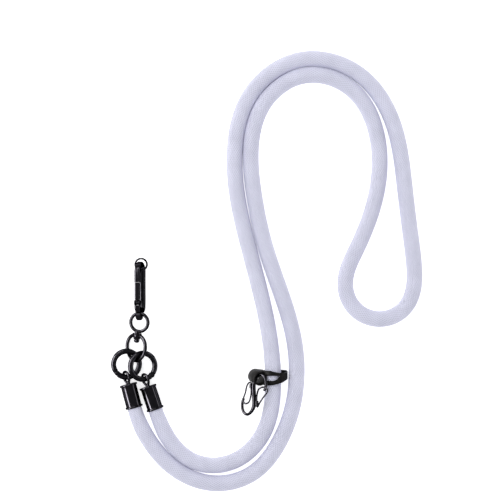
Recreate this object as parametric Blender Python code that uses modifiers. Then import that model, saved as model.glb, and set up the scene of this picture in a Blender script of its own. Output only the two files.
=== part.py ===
"""Phone crossbody strap: a round rope with crimped end caps, two spring-gate rings, a swivel,
a snap hook with a small wire ring, and a leather tab that carries an S-shaped clip.

Metres, +Z up, as the strap lies on a flat surface. The origin is on that surface, under the
middle of the hard pieces. +Y runs up the strap's hardware, from the end caps to the hook.
"""
import math

import bmesh
import bpy
import numpy as np
from mathutils import Matrix, Vector

MM = 0.001

# Fits
CLEARANCE = 0.3 * MM
CUT_OVERRUN = 3.0 * MM

# Rope: a round knit cord, laid flat, with its ends inside the end caps
ROPE_DIAMETER = 10.0 * MM
ROPE_END_DIAMETER = 9.0 * MM
ROPE_SIDES_RESOLUTION = 3
ROPE_STEPS_PER_POINT = 2
ROPE_INSERTION = 9.0 * MM
ROPE_RISE_LENGTH = 34.0 * MM
ROPE_PINCH_LENGTH = 16.0 * MM

# The rope's route in plan, in millimetres, from the left cap round to the right cap
ROPE_ROUTE_MM = [
    (-40.6, -48.6), (-31.1, -67.8), (-14.3, -85.2), (10.0, -93.6), (33.7, -87.3), (51.4, -66.5),
    (60.9, -38.4), (60.3, -0.6), (42.8, 55.7), (35.1, 90.3), (32.9, 119.7), (41.1, 149.2),
    (66.5, 167.1), (96.7, 159.1), (112.7, 132.5), (113.9, 95.4), (100.4, 56.0), (93.5, 37.3),
    (95.0, 25.1), (101.8, 16.1), (112.2, 11.7), (123.4, 13.1), (132.3, 19.9), (136.8, 30.3),
    (137.3, 46.3), (134.5, 69.8), (131.3, 96.7), (123.0, 139.2), (102.9, 167.5), (65.0, 177.4),
    (32.5, 154.7),
    (22.6, 119.7), (24.2, 90.3), (31.9, 55.7), (44.1, 4.5), (47.1, -30.0), (40.5, -62.0),
    (20.9, -79.8), (-2.8, -79.9), (-18.4, -67.0), (-26.7, -50.5),
]

# End caps: turned cups with a rolled flange at each end, lying on their flanges
CAP_LENGTH = 15.8 * MM
CAP_WALL = 0.35 * MM
CAP_END_WALL = 1.2 * MM
CAP_FLANGE_PROUD = 0.6 * MM
CAP_FLANGE_WIDTH = 1.4 * MM
CAP_SEGMENTS = 32
CAPS = {
    "left": {"end_xy": (-45.59 * MM, -29.95 * MM), "lean_deg": 14.6, "eye_roll_deg": 57.0},
    "right": {"end_xy": (-33.11 * MM, -31.42 * MM), "lean_deg": 18.4, "eye_roll_deg": 55.3},
}

# Cap eyes: a wire bent to a loop, its two legs through a hole in the cap's closed end
EYE_WIRE = 1.3 * MM
EYE_LOOP_RADIUS = 3.4 * MM
EYE_LOOP_OFFSET = 4.55 * MM
EYE_LEG_SPACING = 1.9 * MM
EYE_LEG_DEPTH = 2.2 * MM

# Spring-gate rings
RING_RADIUS = 8.3 * MM
RING_WIRE = RING_RADIUS * 0.42
RING_GATE_TIP_DEG = 31.0
RING_GATE_PIVOT_DEG = -44.0
RING_GATE_DRAFT_DEG = 6.0
RING_KNUCKLE_RADIUS = RING_WIRE * 0.46
RING_KNUCKLE_THICKNESS = RING_WIRE * 0.77
RING_TONGUE_RADIUS = RING_WIRE * 0.36
RING_TONGUE_THICKNESS = 1.0 * MM
RING_PIN_RADIUS = 0.45 * MM
RINGS = {
    "left": {"foot_mm": (-46.65, -25.61, 5.66), "pitch_deg": 0.1, "roll_deg": 11.9, "gate_side": -1},
    "right": {"foot_mm": (-36.18, -26.89, 6.75), "pitch_deg": 0.3, "roll_deg": 23.8, "gate_side": 1},
}

# Swivel: an egg-shaped lower ring with a barrel, and a round upper ring on a headed shank
SWIVEL_FROM_RING_TOPS = (0.122 * RING_RADIUS, 0.354 * RING_RADIUS, 0.105 * RING_RADIUS)
SWIVEL_PITCH_DEG = 5.3
SWIVEL_ROLL_DEG = -41.6
SWIVEL_YAW_DEG = -8.0
LOWER_RING_HALF_WIDTH = RING_RADIUS - 0.2 * MM
LOWER_RING_HALF_LENGTH = RING_RADIUS
LOWER_RING_TAPER = 0.10
LOWER_RING_WIRE = RING_RADIUS * 0.24
BARREL_SET_IN = 0.9 * MM
BARREL_RADIUS = 2.9 * MM
BARREL_LENGTH = 4.0 * MM
SHANK_RADIUS = 1.2 * MM
HEAD_RADIUS = 1.85 * MM
HEAD_LENGTH = 1.9 * MM
UPPER_RING_SPIN_DEG = 27.0
UPPER_RING_LEAN_DEG = 9.0
UPPER_RING_RADIUS = 5.75 * MM
UPPER_RING_WIRE = 1.9 * MM

# Snap hook: a flat die-cast body that stands on its spine and leans towards its gate
HOOK_LEAN_DEG = 15.0
HOOK_THICKNESS = 3.3 * MM
HOOK_BAR = 3.3 * MM
HOOK_EDGE = 0.45 * MM
HOOK_SPACING = 10.7 * MM
HOOK_TOP_Y = 25.9 * MM
HOOK_NOSE_Y = 19.9 * MM
HOOK_PIVOT_Y = 6.8 * MM
HOOK_EYE_X = 3.8 * MM
HOOK_EYE_RADIUS = 3.0 * MM
HOOK_EYE_DROP = 1.8 * MM
HOOK_EYE_HOLE = 1.75 * MM
HOOK_EYE_SLACK = 0.12 * MM
HOOK_KNUCKLE_RADIUS = 1.9 * MM
HOOK_TONGUE_RADIUS = 1.55 * MM
HOOK_TONGUE_THICKNESS = 1.3 * MM
HOOK_PIN_RADIUS = 0.6 * MM
HOOK_GATE_WIDTH = 2.9 * MM
HOOK_GATE_THICKNESS = 3.0 * MM

# The hook's heel, in millimetres from its eye, from the spine round to the gate's pivot
HOOK_HEEL_MM = [(10.6, 14.0), (10.4, 6.6), (9.0, 2.8), (5.4, 1.7), (2.0, 2.1), (0.4, 3.9)]

# Small wire ring held in the hook's crook
WIRE_RING_RADIUS = 3.75 * MM
WIRE_RING_WIRE = 0.9 * MM
WIRE_RING_OFFSET = (0.7 * MM, -0.1 * MM)

# Leather tab: a strip wrapped round the rope, cut open on top, with a roll beside it
LEATHER_THICKNESS = 1.2 * MM
TAB_CENTRE_Y = -25.83 * MM
TAB_WIDTH = 9.2 * MM
TAB_SLACK_RUN = 2.9 * MM
TAB_SKEW_ROOM = 0.5 * MM

# The tab's cut-outs seen from above, as shares of the loop's outer radius and of its width:
# the window from the top edge down, the corner from the low edge up, and the sloping top edge
TAB_WINDOW = [(-0.68, 0.33), (0.68, 0.36), (0.35, 0.61), (0.0, 0.70), (-0.68, 0.71)]
TAB_CORNER = [(0.16, 0.43), (-0.05, 0.43), (-0.55, 0.18), (-1.40, 0.02), (-1.55, -0.22), (0.16, -0.22)]
TAB_EDGE = [(-0.30, -0.11), (-0.30, -0.02), (0.10, 0.09), (0.72, 0.14), (0.72, -0.11)]

# The roll beside the loop, for the clip
ROLL_RADIUS = 4.6 * MM
ROLL_LENGTH = 9.6 * MM
ROLL_CENTRE_MM = (37.1, -25.6, 6.6)
ROLL_AXIS = (0.42, -0.17, 0.89)

# S clip: a bent rod with two wire gates, through the leather roll
CLIP_CENTRE_MM = (34.89, -36.68, 7.75)
CLIP_TILT_DEG = 38.5
CLIP_WAIST_RADIUS = 1.4 * MM
CLIP_ROD_RADIUS = 0.9 * MM
CLIP_WIRE_RADIUS = 0.45 * MM
CLIP_LUG_RADIUS = 1.15 * MM
CLIP_LUG_LENGTH = 2.8 * MM
CLIP_LUG_ALONG = 5.3 * MM

# One half of the S in its own plane, in millimetres, from the middle to the lower nose:
# across, along, and the rod's thickness as a share between waist and loop
CLIP_HALF_MM = [
    (0.0, 0.0, 1.0), (0.3, -3.7, 1.0), (0.2, -6.4, 0.9), (-0.8, -9.1, 0.6), (-2.9, -11.7, 0.2),
    (-5.6, -12.9, 0.0), (-8.1, -11.8, 0.0), (-9.5, -9.1, 0.0), (-9.6, -6.4, 0.0), (-9.0, -4.0, 0.0),
    (-8.4, -2.9, 0.0),
]

# Each wire gate's run in the S's plane, in millimetres from its hinge: out along one leg and back
GATE_RUNS_MM = {
    "upper": [
        (0.0, -1.2), (0.0, -1.9), (0.6, -2.4), (1.8, -1.7), (4.6, 2.2), (7.3, 5.4), (8.8, 7.1),
        (9.1, 8.5), (8.2, 9.7), (6.5, 10.3), (4.4, 10.1), (2.4, 9.0), (1.0, 7.2), (0.2, 4.9),
        (0.0, 3.2), (0.0, 1.9), (0.0, 1.2),
    ],
    "lower": [
        (0.0, -1.2), (0.0, -1.9), (0.6, -2.4), (1.7, -1.6), (3.2, 3.2), (5.0, 7.2), (5.5, 8.8),
        (4.9, 10.4), (3.4, 11.1), (1.7, 10.4), (0.8, 8.4), (0.2, 5.6), (0.0, 3.4), (0.0, 1.9),
        (0.0, 1.2),
    ],
}


def clear_scene():
    for item in list(bpy.data.objects):
        bpy.data.objects.remove(item, do_unlink=True)


def make_collection(name):
    collection = bpy.data.collections.new(name)
    bpy.context.scene.collection.children.link(collection)
    return collection


def make_material(name, colour, metallic, roughness):
    material = bpy.data.materials.new(name)
    material.use_nodes = True
    shader = material.node_tree.nodes["Principled BSDF"]
    shader.inputs["Base Color"].default_value = (*colour, 1.0)
    shader.inputs["Metallic"].default_value = metallic
    shader.inputs["Roughness"].default_value = roughness
    return material


def adopt(item, collection, material=None):
    """Move an object into one collection and give it a material."""
    for owner in list(item.users_collection):
        owner.objects.unlink(item)
    collection.objects.link(item)
    if material is not None:
        item.data.materials.clear()
        item.data.materials.append(material)
    return item


def tube(name, points, radius, closed=False, resolution=2, shares=None):
    """A wire or rope as a POLY curve with a round section and filled caps."""
    curve = bpy.data.curves.new(name, "CURVE")
    curve.dimensions = "3D"
    curve.bevel_depth = radius
    curve.bevel_resolution = resolution
    curve.use_fill_caps = not closed
    spline = curve.splines.new("POLY")
    spline.points.add(len(points) - 1)
    for index, point in enumerate(points):
        spline.points[index].co = (*point, 1.0)
        spline.points[index].radius = 1.0 if shares is None else shares[index]
    spline.use_cyclic_u = closed
    item = bpy.data.objects.new(name, curve)
    bpy.context.scene.collection.objects.link(item)
    return item


def plate(name, outline, thickness, holes=(), edge=0.0):
    """A flat outline as a filled 2D curve, extruded to both sides of its plane."""
    curve = bpy.data.curves.new(name, "CURVE")
    curve.dimensions = "2D"
    curve.fill_mode = "BOTH"
    curve.extrude = thickness / 2 - edge
    curve.bevel_depth = edge
    curve.bevel_resolution = 1
    curve.offset = -edge
    for loop in (outline, *holes):
        spline = curve.splines.new("POLY")
        spline.points.add(len(loop) - 1)
        for index, (x, y) in enumerate(loop):
            spline.points[index].co = (x, y, 0.0, 1.0)
        spline.use_cyclic_u = True
    item = bpy.data.objects.new(name, curve)
    bpy.context.scene.collection.objects.link(item)
    return item


def as_mesh(item, frame=None):
    """Turn a curve object into a welded mesh object, placed by a frame."""
    bpy.context.view_layer.update()
    graph = bpy.context.evaluated_depsgraph_get()
    mesh = bpy.data.meshes.new_from_object(item.evaluated_get(graph))
    shape = bmesh.new()
    shape.from_mesh(mesh)
    bmesh.ops.remove_doubles(shape, verts=shape.verts, dist=0.00001)
    bmesh.ops.recalc_face_normals(shape, faces=shape.faces)
    shape.to_mesh(mesh)
    shape.free()
    solid = bpy.data.objects.new(item.name, mesh)
    bpy.context.scene.collection.objects.link(solid)
    solid.matrix_world = item.matrix_world.copy()
    name = item.name
    bpy.data.objects.remove(item, do_unlink=True)
    solid.name = name
    if frame is not None:
        solid.matrix_world = frame @ solid.matrix_world
    return solid


def cylinder(name, radius, length, frame, segments=24):
    """A cylinder along the frame's Z axis, centred on its origin."""
    bpy.ops.mesh.primitive_cylinder_add(radius=radius, depth=length, vertices=segments)
    item = bpy.context.active_object
    item.name = name
    item.matrix_world = frame
    return item


def torus(name, radius, wire, frame, segments=48, sides=12):
    bpy.ops.mesh.primitive_torus_add(
        major_radius=radius, minor_radius=wire / 2, major_segments=segments, minor_segments=sides)
    item = bpy.context.active_object
    item.name = name
    item.matrix_world = frame
    return item


def turned(name, profile, frame, segments):
    """A profile of (radius, height) points, top to bottom down its outer side, turned about Z."""
    mesh = bpy.data.meshes.new(name)
    points = [(radius, 0.0, height) for radius, height in profile]
    edges = [(index, (index + 1) % len(points)) for index in range(len(points))]
    mesh.from_pydata(points, edges, [])
    item = bpy.data.objects.new(name, mesh)
    bpy.context.scene.collection.objects.link(item)
    screw = item.modifiers.new("turn", "SCREW")
    screw.steps = segments
    screw.render_steps = segments
    screw.use_merge_vertices = True
    screw.merge_threshold = 0.00001
    item.matrix_world = frame
    return item


def boolean(item, cutter, operation, cutters):
    modifier = item.modifiers.new(cutter.name, "BOOLEAN")
    modifier.operation = operation
    modifier.solver = "EXACT"
    modifier.object = cutter
    cutter.hide_render = True
    cutter.display_type = "WIRE"
    adopt(cutter, cutters)


def set_origin(item, point):
    """Put an object's origin at a point of its own frame, with its shape left in place."""
    item.data.transform(Matrix.Translation(-Vector(point)))
    item.matrix_world = item.matrix_world @ Matrix.Translation(Vector(point))


def shade(item):
    mesh = item.data
    if isinstance(mesh, bpy.types.Mesh):
        mesh.shade_smooth()
        mesh.set_sharp_from_angle(angle=math.radians(35))


def smooth_curve(points, steps):
    """A natural cubic spline through the points, read at a few steps in each span."""
    nodes = np.array(points, float)
    count = len(nodes)
    spans = np.linalg.norm(np.diff(nodes, axis=0), axis=1)
    system = np.zeros((count, count))
    right = np.zeros_like(nodes)
    system[0, 0] = 1.0
    system[-1, -1] = 1.0
    for index in range(1, count - 1):
        before, after = spans[index - 1], spans[index]
        system[index, index - 1:index + 2] = before, 2 * (before + after), after
        slope_after = (nodes[index + 1] - nodes[index]) / after
        slope_before = (nodes[index] - nodes[index - 1]) / before
        right[index] = 6 * (slope_after - slope_before)
    bends = np.linalg.solve(system, right)
    curve = []
    for index, span in enumerate(spans):
        start, end = nodes[index], nodes[index + 1]
        for step in range(steps):
            ahead = span * step / steps
            back = span - ahead
            cubic = (bends[index] * back ** 3 + bends[index + 1] * ahead ** 3) / (6 * span)
            line_back = (start / span - bends[index] * span / 6) * back
            line_ahead = (end / span - bends[index + 1] * span / 6) * ahead
            curve.append(cubic + line_back + line_ahead)
    curve.append(nodes[-1])
    return [tuple(float(value) for value in point) for point in curve]


def arc(centre, radius, start_deg, end_deg, count):
    """Points along an arc in a plane."""
    angles = [math.radians(start_deg + (end_deg - start_deg) * k / (count - 1)) for k in range(count)]
    return [(centre[0] + radius * math.cos(a), centre[1] + radius * math.sin(a)) for a in angles]


def circle(centre, radius, count):
    return arc(centre, radius, 0, 360 - 360 / count, count)


def capsule(start, end, radius, count=9):
    """The outline of a bar with round ends between two points."""
    heading = math.degrees(math.atan2(end[1] - start[1], end[0] - start[0]))
    front = arc(end, radius, heading - 90, heading + 90, count)
    back = arc(start, radius, heading + 90, heading + 270, count)
    return front + back


def ribbon(points, width):
    """The outline of a bar of constant width along a line of points."""
    line = np.array(points, float)
    ahead = np.gradient(line, axis=0)
    ahead /= np.linalg.norm(ahead, axis=1)[:, None]
    normal = np.stack([-ahead[:, 1], ahead[:, 0]], axis=1) * width / 2
    left = [tuple(p) for p in line + normal]
    right = [tuple(p) for p in line - normal]
    return left + right[::-1]


def tilted_frame(centre, pitch_deg, roll_deg, yaw_deg=0.0):
    """A frame whose Z is a ring's normal: pitched about X, rolled about Y, then turned about Z."""
    yaw = Matrix.Rotation(math.radians(yaw_deg), 4, "Z")
    roll = Matrix.Rotation(math.radians(roll_deg), 4, "Y")
    pitch = Matrix.Rotation(math.radians(pitch_deg), 4, "X")
    return Matrix.Translation(Vector(centre)) @ yaw @ roll @ pitch


def axes_frame(origin, x_axis, y_axis):
    """A frame from its origin and two of its axes."""
    x_axis = Vector(x_axis).normalized()
    z_axis = x_axis.cross(Vector(y_axis)).normalized()
    y_axis = z_axis.cross(x_axis)
    frame = Matrix((x_axis, y_axis, z_axis)).transposed().to_4x4()
    frame.translation = Vector(origin)
    return frame


clear_scene()
parts = make_collection("phone_crossbody_strap")
cutters = make_collection("cutters")
rope_finish = make_material("white_knit", (0.72, 0.73, 0.82), 0.0, 0.85)
metal_finish = make_material("black_plated_metal", (0.03, 0.03, 0.035), 0.9, 0.25)
leather_finish = make_material("black_leather", (0.025, 0.024, 0.024), 0.0, 0.6)

rope_radius = ROPE_DIAMETER / 2
cap_bore = ROPE_END_DIAMETER / 2 + CLEARANCE
cap_radius = cap_bore + CAP_WALL
flange_radius = cap_radius + CAP_FLANGE_PROUD
cap_axis_z = flange_radius


def cap_frame(side):
    """Origin at the middle of the cap's closed end, Z out of it, X level."""
    cap = CAPS[side]
    lean = math.radians(cap["lean_deg"])
    outward = (-math.sin(lean), math.cos(lean), 0.0)
    level = (math.cos(lean), math.sin(lean), 0.0)
    down = Vector(outward).cross(Vector(level))
    return axes_frame((*cap["end_xy"], cap_axis_z), level, down)


def make_rope():
    """The rope rises to each cap's axis, and over the leather that passes under it."""
    tab_rise = LEATHER_THICKNESS + CLEARANCE
    cap_rise = cap_axis_z - ROPE_END_DIAMETER / 2
    ends = {}
    for side in ("left", "right"):
        frame = cap_frame(side)
        ends[side] = frame @ Vector((0, 0, ROPE_INSERTION - CAP_LENGTH))
    plan = [(x * MM, y * MM) for x, y in ROPE_ROUTE_MM]
    plan = [tuple(ends["left"][:2])] + plan + [tuple(ends["right"][:2])]
    route = smooth_curve(plan, ROPE_STEPS_PER_POINT)
    travelled = [0.0]
    for before, after in zip(route, route[1:]):
        travelled.append(travelled[-1] + math.dist(before, after))
    tab_index = min(range(len(route) // 2, len(route)), key=lambda k: abs(route[k][1] - TAB_CENTRE_Y))
    points = []
    shares = []
    pinched = ROPE_END_DIAMETER / ROPE_DIAMETER
    for (x, y), run in zip(route, travelled):
        from_cap = min(run, travelled[-1] - run) - ROPE_INSERTION
        open_out = min(max(from_cap / ROPE_PINCH_LENGTH, 0), 1)
        shares.append(pinched + (1 - pinched) * open_out)
        near_cap = 1 - min(max(from_cap / ROPE_RISE_LENGTH, 0), 1)
        from_tab = abs(run - travelled[tab_index]) - TAB_WIDTH
        near_tab = 1 - min(max(from_tab / ROPE_RISE_LENGTH, 0), 1)
        ease_cap = near_cap ** 2 * (3 - 2 * near_cap)
        ease_tab = near_tab ** 2 * (3 - 2 * near_tab)
        radius = rope_radius * shares[-1]
        points.append((x, y, radius + cap_rise * ease_cap + tab_rise * ease_tab))
    rope = tube("rope", points, rope_radius, resolution=ROPE_SIDES_RESOLUTION, shares=shares)
    adopt(rope, parts, rope_finish)


def make_end_cap(side):
    """A cup turned about its axis, its mouth towards the rope, with a hole for the eye's legs."""
    depth = -CAP_LENGTH
    hole = EYE_LEG_SPACING / 2 + EYE_WIRE / 2 + CLEARANCE
    round_over = CAP_FLANGE_WIDTH * 0.3
    flange_in = flange_radius - round_over
    profile = [
        (hole, 0.0), (flange_in, 0.0), (flange_radius, -round_over),
        (flange_radius, round_over - CAP_FLANGE_WIDTH), (cap_radius, -CAP_FLANGE_WIDTH),
        (cap_radius, depth + CAP_FLANGE_WIDTH), (flange_radius, depth + CAP_FLANGE_WIDTH - round_over),
        (flange_radius, depth + round_over), (flange_in, depth), (cap_bore, depth),
        (cap_bore, -CAP_END_WALL), (hole, -CAP_END_WALL),
    ]
    cap = turned("end_cap_" + side, profile, cap_frame(side), CAP_SEGMENTS)
    adopt(cap, parts, metal_finish)
    shade(cap)


def make_cap_eye(side):
    """A wire up through the cap's end, round the loop and back down."""
    frame = cap_frame(side) @ Matrix.Rotation(math.radians(-CAPS[side]["eye_roll_deg"]), 4, "Z")
    loop = arc((0.0, EYE_LOOP_OFFSET), EYE_LOOP_RADIUS, -40, 220, 19)
    leg = EYE_LEG_SPACING / 2
    run = [(leg, -EYE_LEG_DEPTH), (leg, 0.3 * MM)] + loop + [(-leg, 0.3 * MM), (-leg, -EYE_LEG_DEPTH)]
    points = [(x, 0.0, z) for x, z in run]
    eye = as_mesh(tube("cap_eye_" + side, points, EYE_WIRE / 2, resolution=1), frame)
    adopt(eye, parts, metal_finish)
    shade(eye)


def ring_frame(side):
    """A gate ring's centre and plane, from the point where it stands in its cap's eye."""
    ring = RINGS[side]
    foot = [value * MM for value in ring["foot_mm"]]
    standing = tilted_frame(foot, ring["pitch_deg"], ring["roll_deg"])
    return standing @ Matrix.Translation((0.0, RING_RADIUS, 0.0))


def make_gate_ring(side):
    """A torus cut where the gate goes, with a forked knuckle, a pin, and the gate's tongue in it."""
    hand = RINGS[side]["gate_side"]
    frame = ring_frame(side)

    def on_ring(angle_deg):
        angle = math.radians(angle_deg)
        return Vector((hand * RING_RADIUS * math.cos(angle), RING_RADIUS * math.sin(angle)))

    pivot = on_ring(RING_GATE_PIVOT_DEG)
    tip = on_ring(RING_GATE_TIP_DEG)
    inside = on_ring(RING_GATE_PIVOT_DEG + 24)
    draft = Matrix.Rotation(math.radians(-hand * RING_GATE_DRAFT_DEG), 2)
    tip_normal = draft @ (tip - pivot).normalized()
    tip_across = Vector((-tip_normal.y, tip_normal.x)) * (RING_WIRE * 1.5)
    pivot_across = pivot.normalized() * (RING_WIRE * 1.5)
    reach = 4 * RING_WIRE

    def gate_space(name, gap):
        edge = tip + tip_normal * gap
        outline = [edge + tip_across, edge - tip_across, pivot - pivot_across, pivot + pivot_across]
        if hand > 0:
            outline = [edge - tip_across, edge + tip_across, pivot - pivot_across, pivot + pivot_across]
        return as_mesh(plate(name, [tuple(p) for p in outline], reach), frame)

    pin_frame = frame @ Matrix.Translation((*pivot, 0.0))
    slot_radius = RING_KNUCKLE_RADIUS + CLEARANCE
    slot_thickness = RING_TONGUE_THICKNESS + 2 * CLEARANCE

    body = torus("gate_ring_" + side, RING_RADIUS, RING_WIRE, frame)
    boolean(body, gate_space("gate_space_" + side, CLEARANCE / 2), "DIFFERENCE", cutters)
    knuckle = cylinder("knuckle_" + side, RING_KNUCKLE_RADIUS, RING_KNUCKLE_THICKNESS, pin_frame)
    boolean(body, knuckle, "UNION", cutters)
    slot_outline = capsule(tuple(pivot), tuple(inside), slot_radius)
    slot = as_mesh(plate("slot_" + side, slot_outline, slot_thickness), frame)
    boolean(body, slot, "DIFFERENCE", cutters)
    pin = cylinder("pin_" + side, RING_PIN_RADIUS, RING_KNUCKLE_THICKNESS, pin_frame, 16)
    boolean(body, pin, "UNION", cutters)
    adopt(body, parts, metal_finish)
    shade(body)

    gate = torus("ring_gate_" + side, RING_RADIUS, RING_WIRE, frame)
    boolean(gate, gate_space("gate_zone_" + side, -CLEARANCE / 2), "INTERSECT", cutters)
    relief = cylinder(
        "relief_" + side, RING_KNUCKLE_RADIUS + CLEARANCE, RING_WIRE + CUT_OVERRUN, pin_frame)
    boolean(gate, relief, "DIFFERENCE", cutters)
    tongue_outline = capsule(tuple(pivot), tuple(inside), RING_TONGUE_RADIUS)
    tongue = as_mesh(plate("tongue_" + side, tongue_outline, RING_TONGUE_THICKNESS), frame)
    boolean(gate, tongue, "UNION", cutters)
    hole = cylinder(
        "pin_hole_" + side, RING_PIN_RADIUS + CLEARANCE, RING_WIRE + CUT_OVERRUN, pin_frame, 16)
    boolean(gate, hole, "DIFFERENCE", cutters)
    set_origin(gate, (*pivot, 0.0))
    adopt(gate, parts, metal_finish)
    shade(gate)


ring_centres = (ring_frame("left").translation + ring_frame("right").translation) / 2
ring_tops = ring_centres + Vector((0.0, RING_RADIUS, 0.0))
swivel_centre = ring_tops + Vector(SWIVEL_FROM_RING_TOPS)
barrel_offset = LOWER_RING_HALF_LENGTH - BARREL_SET_IN
shank_top = BARREL_LENGTH / 2 + CLEARANCE + UPPER_RING_WIRE / 2


def swivel_frame(spin_deg, along):
    """A frame a distance along the swivel's axis, spun about it from the lower ring's plane."""
    lower = tilted_frame(swivel_centre, SWIVEL_PITCH_DEG, SWIVEL_ROLL_DEG, SWIVEL_YAW_DEG)
    spin = Matrix.Rotation(math.radians(spin_deg), 4, "Y")
    return lower @ spin @ Matrix.Translation((0, along, 0))


def upper_ring_frame():
    """The upper ring's centre and plane: it stands on the shank's top and leans a little."""
    lean = Matrix.Rotation(math.radians(-UPPER_RING_LEAN_DEG), 4, "Z")
    foot = swivel_frame(UPPER_RING_SPIN_DEG, barrel_offset + shank_top)
    return foot @ lean @ Matrix.Translation((0.0, UPPER_RING_RADIUS, 0.0))


def make_swivel():
    """The shank of the upper ring runs through the lower ring's barrel, with a head below it."""
    lower_frame = swivel_frame(0.0, 0.0)
    steps = 44
    points = []
    for index in range(steps):
        angle = 2 * math.pi * index / steps
        across = LOWER_RING_HALF_WIDTH * math.cos(angle) * (1 + LOWER_RING_TAPER * math.sin(angle))
        points.append((across, LOWER_RING_HALF_LENGTH * math.sin(angle), 0.0))
    lower = as_mesh(tube("swivel_lower_ring", points, LOWER_RING_WIRE / 2, closed=True, resolution=3),
                    lower_frame)
    barrel_frame = swivel_frame(0.0, barrel_offset) @ Matrix.Rotation(math.radians(90), 4, "X")
    barrel = cylinder("barrel", BARREL_RADIUS, BARREL_LENGTH, barrel_frame)
    boolean(lower, barrel, "UNION", cutters)
    bore = cylinder("barrel_bore", SHANK_RADIUS + CLEARANCE, BARREL_LENGTH + CUT_OVERRUN, barrel_frame)
    boolean(lower, bore, "DIFFERENCE", cutters)
    adopt(lower, parts, metal_finish)
    shade(lower)

    upper = torus("swivel_upper_ring", UPPER_RING_RADIUS, UPPER_RING_WIRE, upper_ring_frame(), 36, 10)
    head_top = -BARREL_LENGTH / 2 - CLEARANCE
    shank_length = shank_top - head_top + HEAD_LENGTH / 2
    shank_middle = shank_top - shank_length / 2
    turn = Matrix.Rotation(math.radians(90), 4, "X")
    shank_frame = swivel_frame(UPPER_RING_SPIN_DEG, barrel_offset + shank_middle) @ turn
    shank = cylinder("shank", SHANK_RADIUS, shank_length, shank_frame)
    boolean(upper, shank, "UNION", cutters)
    head_frame = swivel_frame(UPPER_RING_SPIN_DEG, barrel_offset + head_top - HEAD_LENGTH / 2) @ turn
    head = cylinder("shank_head", HEAD_RADIUS, HEAD_LENGTH, head_frame)
    boolean(upper, head, "UNION", cutters)
    joint = swivel_frame(UPPER_RING_SPIN_DEG, barrel_offset).translation
    set_origin(upper, upper.matrix_world.inverted() @ joint)
    adopt(upper, parts, metal_finish)
    shade(upper)


def hook_frame():
    """X from the gate bar to the spine, Y along the hook, origin at the eye's height."""
    lean = math.radians(HOOK_LEAN_DEG)
    across = Vector((math.sin(lean), 0.0, -math.cos(lean)))
    ring = upper_ring_frame()
    ring_normal = ring.to_3x3() @ Vector((0.0, 0.0, 1.0))
    upward = Vector((0.0, 1.0, 0.0))
    upward = (upward - ring_normal * upward.dot(ring_normal)).normalized()
    eye = ring.translation + upward * UPPER_RING_RADIUS + Vector((0.0, HOOK_EYE_SLACK, 0.0))
    spine_low = HOOK_BAR / 2 * math.cos(lean) + (HOOK_THICKNESS / 2 - HOOK_EDGE) * math.sin(lean)
    gate_z = spine_low + HOOK_SPACING * math.cos(lean)
    eye_x = HOOK_EYE_X
    origin = Vector((eye.x, eye.y, gate_z - eye_x * math.cos(lean))) - across * eye_x
    return axes_frame(origin, across, (0.0, 1.0, 0.0))


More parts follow.
